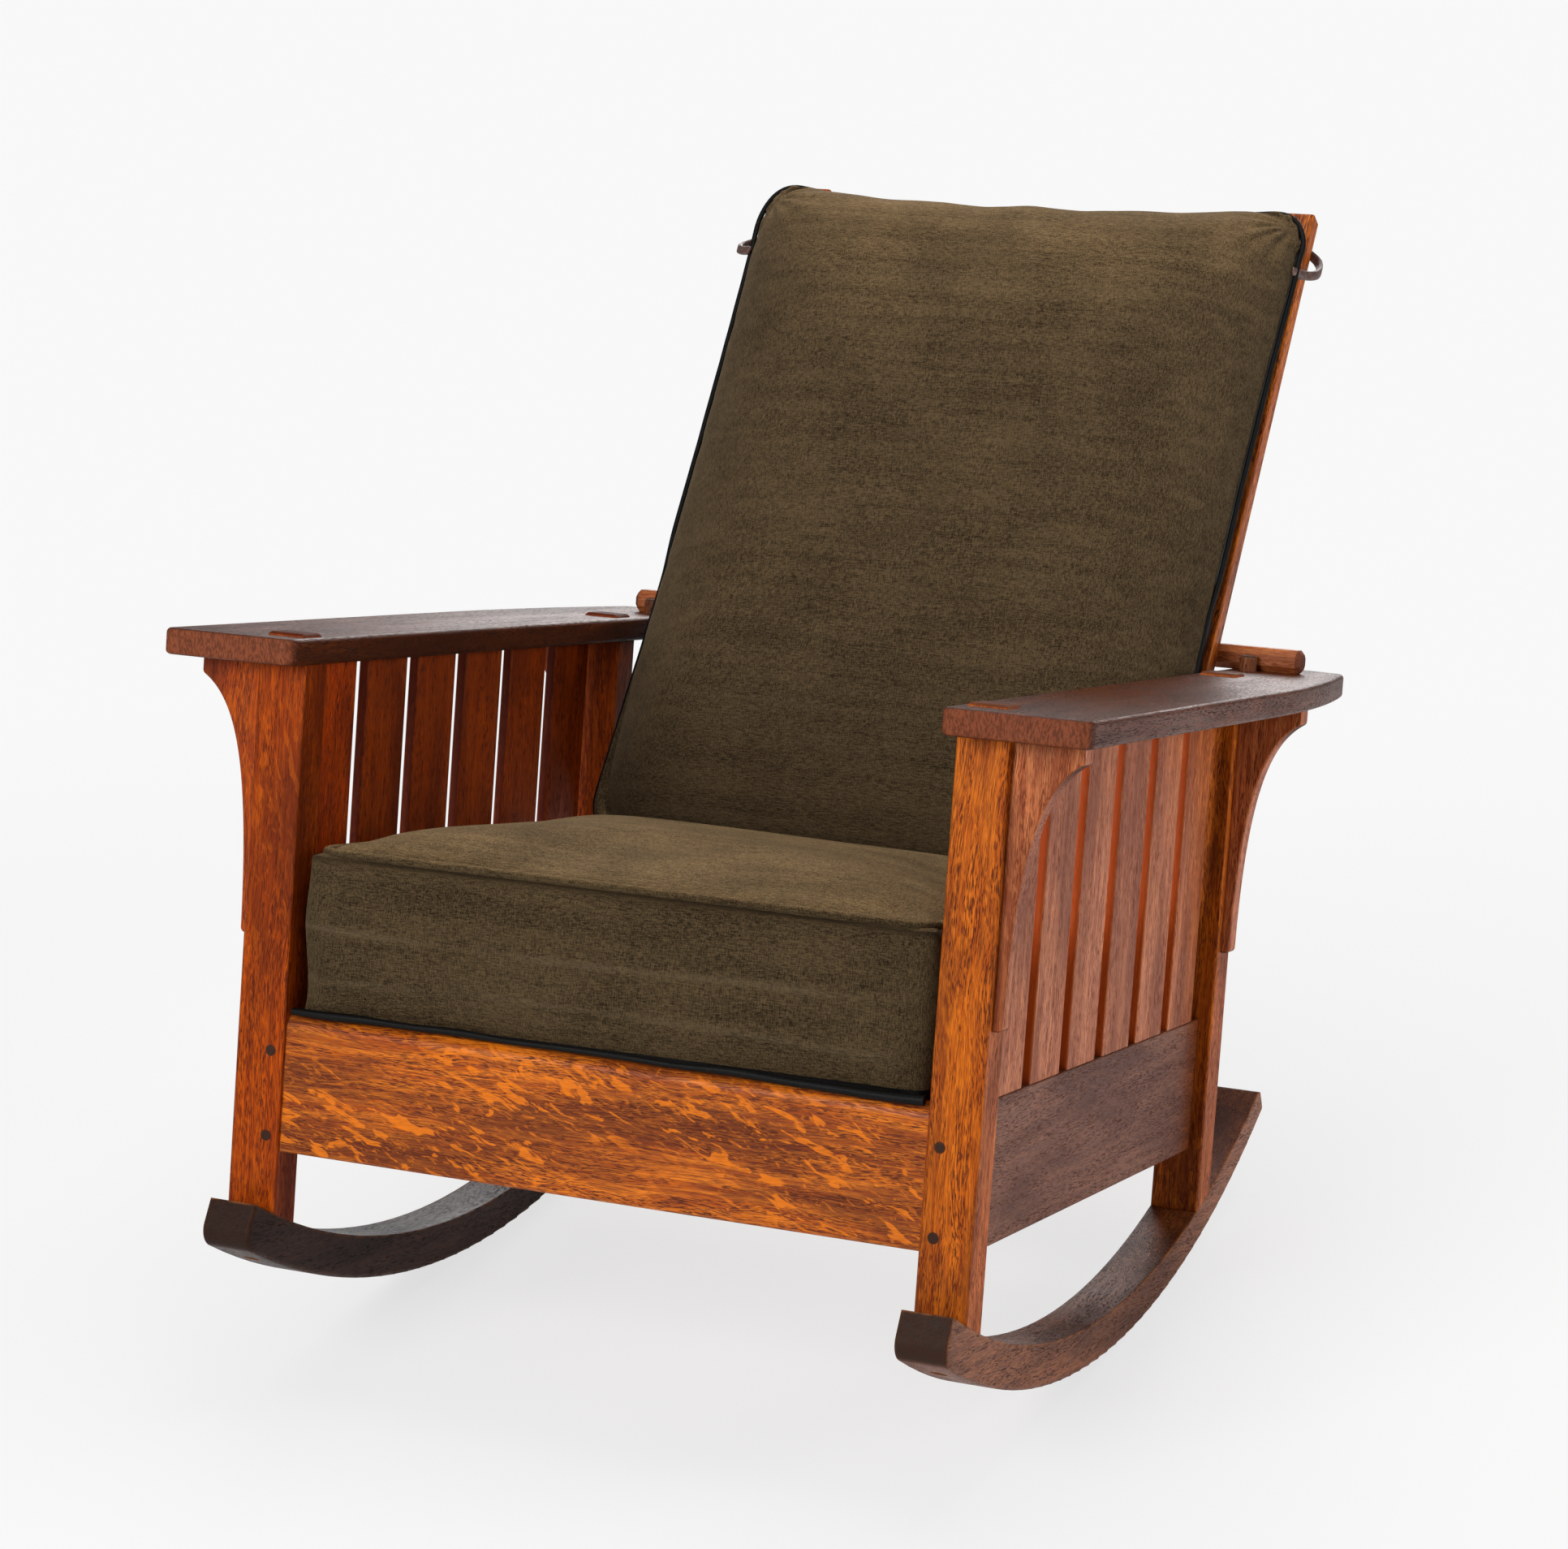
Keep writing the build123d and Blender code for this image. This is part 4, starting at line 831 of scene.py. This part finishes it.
# the seat's lining comes up round its base, and a little further on one side
LINING_HEIGHT, LINING_SLOPE = 0.0058, -0.009
lining_top = in_room(0, 0, SEAT_BASE + LINING_HEIGHT)
lining_tilt = chair_axes @ Vector((LINING_SLOPE, 0, 1)).normalized()
cut_across(seat, lining_top, lining_tilt)
cut_across(back, on_back(0, 0, PILLOW_SEAM), BEHIND_POST)
line_faces(seat, lambda centres: (centres - np.array(lining_top)) @ np.array(lining_tilt) < 0)
line_faces(back, lambda centres: back_places(centres)[:, 2] > PILLOW_SEAM)
for piece in (seat, back):
    choose_only(piece)
    bpy.ops.object.shade_smooth()


def cut_line(piece, point, normal):
    """The closed line where a plane cuts a piece, as ordered places."""
    work = bmesh.new()
    work.from_mesh(piece.data)
    whole = work.verts[:] + work.edges[:] + work.faces[:]
    cut = bmesh.ops.bisect_plane(work, geom=whole, plane_co=point, plane_no=normal)["geom_cut"]
    # a dict keeps the cut's own order, so that the line starts at the same place in each run
    edges = dict.fromkeys(e for e in cut if isinstance(e, bmesh.types.BMEdge))
    vert = next(iter(edges)).verts[0]
    path = [vert.co.copy()]
    while True:
        step = next((e for e in vert.link_edges if e in edges), None)
        if step is None:
            break
        del edges[step]
        vert = step.other_vert(vert)
        path.append(vert.co.copy())
    work.free()
    return np.array([list(p) for p in path])


def resampled(path, count):
    """A closed path as a number of places, evenly spaced."""
    closed = np.vstack([path, path[:1]])
    reach = np.concatenate([[0], np.cumsum(np.linalg.norm(np.diff(closed, axis=0), axis=1))])
    at = np.linspace(0, reach[-1], count, endpoint=False)
    return np.column_stack([np.interp(at, reach, closed[:, i]) for i in range(3)])


def cord_along(name, path, radius, cyclic=True, swell=None):
    """A round welt along a path, made a mesh; swell scales its radius from point to point."""
    curve = bpy.data.curves.new(name, "CURVE")
    curve.dimensions = "3D"
    spline = curve.splines.new("NURBS")
    spline.points.add(len(path) - 1)
    for point, place in zip(spline.points, path):
        point.co = (*place, 1.0)
    if swell is not None:
        spline.points.foreach_set("radius", swell.astype(np.float32))
    spline.order_u = 4
    spline.use_cyclic_u = cyclic
    spline.use_endpoint_u = not cyclic
    spline.resolution_u = 3
    curve.bevel_depth = radius
    curve.bevel_resolution = 3
    curve.use_fill_caps = True
    welt = bpy.data.objects.new(name, curve)
    scene.collection.objects.link(welt)
    choose_only(welt)
    bpy.ops.object.convert(target="MESH")
    bpy.ops.object.shade_smooth()
    return welt


PIPING_POINTS, PIPING_OUT, PIPING_RADIUS = 150, 0.0028, 0.0040
RIM_POINTS, RIM_BEHIND, RIM_RADIUS = 170, 0.001, 0.0026
RIM_WIDER, RIM_WIDER_FROM = 0.012, 0.42  # above the arms the rim stands out a little
seam_fall = (SEAM_FRONT - SEAM_REAR) / (SEAT_REAR - SEAT_FRONT)
seam_normal = chair_axes @ Vector((0, seam_fall, 1)).normalized()
seam_path = resampled(cut_line(seat, in_room(0, SEAT_FRONT, SEAM_FRONT), seam_normal), PIPING_POINTS)
outward = seam_path - seam_path.mean(axis=0)
outward /= np.linalg.norm(outward, axis=1, keepdims=True)
seat_piping = cord_along("seat_cushion_piping", seam_path + PIPING_OUT * outward, PIPING_RADIUS)
seat_piping.data.materials.append(olive)
rim_path = resampled(cut_line(back, on_back(0, 0, PILLOW_SEAM + RIM_BEHIND), BEHIND_POST), RIM_POINTS)
rim_places = back_places(rim_path)
rim_places[:, 0] *= 1 + RIM_WIDER * np.clip((rim_places[:, 1] - RIM_WIDER_FROM) / 0.05, 0, 1)
back_rim = cord_along("back_cushion_rim", room_from_back(rim_places), RIM_RADIUS)
back_rim.data.materials.append(lining)

# The seat's lining hangs out as a loose fold along the front rail
FOLD_POINTS, FOLD_HALF, FOLD_RADIUS = 60, 0.281, 0.0027
FOLD_Y, FOLD_Z = 0.0045, SEAT_BASE + 0.0034
SAG_AT, SAGS = zip((-0.29, 0.3), (-0.24, 0.7), (-0.2, 0.1), (0.0, 0.0), (0.12, 0.3), (0.2, 0.8),
                   (0.26, 1.2), (0.29, 0.9))
across = np.linspace(-FOLD_HALF, FOLD_HALF, FOLD_POINTS)
sag = np.interp(across, SAG_AT, SAGS)
wobble = smooth_noise(np.column_stack([across, across * 0, across * 0]), 110, 21)
fold_path = room_places(np.column_stack([
    across, FOLD_Y - 0.0020 * sag + 0.0015 * wobble, FOLD_Z - 0.0012 * sag + 0.0012 * wobble]))
swell = 1 + 0.5 * sag + 0.3 * wobble
lining_fold = cord_along("seat_lining_fold", fold_path, FOLD_RADIUS, cyclic=False, swell=swell)
lining_fold.data.materials.append(lining)


STRAP_HALF_WIDTH, STRAP_HALF_THICKNESS, STRAP_ROUNDING = 0.0045, 0.0025, 0.6


def strap_along(name, points, width_axis):
    """A rounded leather strap along a smooth path, its wide side kept along one axis."""
    path = np.array([list(p) for p in points])
    for _ in range(3):
        sooner, later = 0.75 * path[:-1] + 0.25 * path[1:], 0.25 * path[:-1] + 0.75 * path[1:]
        path = np.vstack([path[:1], np.stack([sooner, later], 1).reshape(-1, 3), path[-1:]])
    tangent = np.gradient(path, axis=0)
    tangent /= np.linalg.norm(tangent, axis=1, keepdims=True)
    flat = np.cross(tangent, np.array(width_axis))
    flat /= np.linalg.norm(flat, axis=1, keepdims=True)
    wide_way = np.cross(flat, tangent)
    size = 14
    turned = np.linspace(0, 2 * math.pi, size, endpoint=False)
    cosine, sine = np.cos(turned), np.sin(turned)
    out = (np.sign(cosine) * np.abs(cosine) ** STRAP_ROUNDING * STRAP_HALF_WIDTH)[None, :, None]
    up = (np.sign(sine) * np.abs(sine) ** STRAP_ROUNDING * STRAP_HALF_THICKNESS)[None, :, None]
    rings = path[:, None] + wide_way[:, None] * out + flat[:, None] * up
    last = (len(path) - 1) * size
    faces = [(ring + k, ring + (k + 1) % size, ring + size + (k + 1) % size, ring + size + k)
             for ring in range(0, last, size) for k in range(size)]
    faces += [tuple(range(size)), tuple(range(last, last + size))]
    mesh = bpy.data.meshes.new(name)
    mesh.from_pydata(rings.reshape(-1, 3).tolist(), [], faces)
    work = bmesh.new()
    work.from_mesh(mesh)
    bmesh.ops.recalc_face_normals(work, faces=work.faces)
    work.to_mesh(mesh)
    work.free()
    strap = bpy.data.objects.new(name, mesh)
    scene.collection.objects.link(strap)
    choose_only(strap)
    bpy.ops.object.shade_smooth()
    mesh.materials.append(leather)
    return strap


# Each strap leaves the cushion's side seam, climbs behind the post and comes back to the cushion
STRAP_STARTS = dict(
    left=[(0.280, 0.784, -0.052), (0.294, 0.788, -0.044),
          (0.303, 0.798, -0.032), (0.301, 0.814, -0.014)],
    right=[(0.278, 0.796, -0.052), (0.285, 0.799, -0.040),
           (0.290, 0.808, -0.024), (0.290, 0.820, -0.008)])
STRAP_REST = [(0.286, 0.834, 0.006), (0.279, 0.848, 0.015),
              (0.262, 0.860, 0.017), (0.242, 0.866, 0.016),
              (0.229, 0.867, 0.008), (0.225, 0.862, -0.006),
              (0.227, 0.852, -0.018), (0.230, 0.838, -0.028)]
straps = []
for sign, side in ((-1, "left"), (1, "right")):
    route = [on_back(sign * x, u, d) for x, u, d in STRAP_STARTS[side] + STRAP_REST]
    straps.append(strap_along(f"back_strap_{side}", route, ALONG_POST))

# ---------------------------------------------------------------- what each piece rides on
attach(seat, "root")
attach(seat_piping, "root")
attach(back, "back")
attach(back_rim, "back")
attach(lining_fold, "root")
for strap in straps:
    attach(strap, "back")
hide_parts("cushion_loop_left")
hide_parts("cushion_loop_right")
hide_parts("seat_cushion")
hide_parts("back_cushion")

# ---------------------------------------------------------------- floor, light and camera
WHITE = (1, 1, 1, 1)
BACKDROP, AIR_LIGHT = 0.94, 0.2  # how bright the backdrop is to the camera, and to the chair
FLOOR_SIZE, NEAR, FAR = 60, 0.9, 2.2  # the floor grows paler between near and far
bpy.ops.mesh.primitive_plane_add(size=FLOOR_SIZE, location=(0, 0, 0))
floor = bpy.context.object
floor.name = "studio_floor"
pale, g, shader = new_material("pale_floor")
shader.inputs["Base Color"].default_value = (0.9, 0.9, 0.9, 1)
shader.inputs["Roughness"].default_value = 0.9
glow = g.add("ShaderNodeEmission", {"Color": WHITE, "Strength": BACKDROP})
seen = g.add("ShaderNodeLightPath").outputs
away = g.vector("LENGTH", g.add("ShaderNodeTexCoord").outputs["Object"]).outputs["Value"]
plain_light = g.math("ADD", g.math("MULTIPLY", g.between(away, NEAR, FAR), 0.25), 0.75)
shown = g.math("MAXIMUM", seen["Is Camera Ray"], seen["Is Transmission Ray"])
mirrored = g.math("MULTIPLY", seen["Is Glossy Ray"], AIR_LIGHT)
shown = g.math("MAXIMUM", g.math("MULTIPLY", shown, plain_light), mirrored)
blended = g.add("ShaderNodeMixShader", {0: shown, 1: shader.outputs[0], 2: glow.outputs[0]})
surface = next(n for n in g.tree.nodes if n.type == "OUTPUT_MATERIAL").inputs[0]
g.tree.links.new(blended.outputs[0], surface)
floor.data.materials.append(pale)

world = bpy.data.worlds.new("studio")
scene.world = world
world.use_nodes = True
world.node_tree.nodes.clear()
g = Graph(world.node_tree)
seen = g.add("ShaderNodeLightPath").outputs
air = g.add("ShaderNodeBackground", {"Color": WHITE, "Strength": AIR_LIGHT}).outputs[0]
backdrop = g.add("ShaderNodeBackground", {"Color": WHITE, "Strength": BACKDROP}).outputs[0]
blended = g.add("ShaderNodeMixShader", {0: seen["Is Camera Ray"], 1: air, 2: backdrop})
g.add("ShaderNodeOutputWorld", {"Surface": blended.outputs[0]})


def softbox(name, place, target, width, height, power):
    """A lamp with a broad face, turned towards its target."""
    lamp = bpy.data.lights.new(name, "AREA")
    lamp.shape = "RECTANGLE"
    lamp.size, lamp.size_y, lamp.energy = width, height, power
    box = bpy.data.objects.new(name, lamp)
    scene.collection.objects.link(box)
    box.location = place
    box.rotation_euler = (Vector(target) - Vector(place)).to_track_quat("-Z", "Y").to_euler()


softbox("softbox_over", (0.1, 0.3, 3.0), (0, 0.1, 0.4), 2.0, 2.0, 40)
softbox("softbox_front", (-0.7, -3.4, 2.0), (0, 0, 0.45), 1.8, 1.4, 92)
softbox("softbox_right", (3.2, 0.5, 0.9), (0, 0, 0.45), 1.1, 1.3, 42)
softbox("softbox_behind", (-0.9, 3.8, 1.5), (0, 0, 0.5), 2.6, 1.8, 70)

# the photograph's camera, in the chair's own frame
LENS, SENSOR = 95.17, 36.0
CAMERA_RIGHT, CAMERA_UP = (0.91921, 0.38749, 0.07011), (-0.10176, 0.06175, 0.99289)
CAMERA_PLACE = (1.37982, -2.98560, 0.81960)
camera = bpy.data.cameras.new("photo_camera")
camera.lens, camera.sensor_width = LENS, SENSOR
camera.clip_start, camera.clip_end = 0.1, 200
seen_from = bpy.data.objects.new("photo_camera", camera)
scene.collection.objects.link(seen_from)
seen_right = chair_axes @ Vector(CAMERA_RIGHT)
seen_up = chair_axes @ Vector(CAMERA_UP)
behind = seen_right.cross(seen_up).normalized()
seen_up = behind.cross(seen_right).normalized()
turned = Matrix((seen_right, seen_up, behind)).transposed().to_4x4()
seen_from.matrix_world = Matrix.Translation(in_room(*CAMERA_PLACE)) @ turned
scene.camera = seen_from
scene.view_settings.view_transform = "Standard"
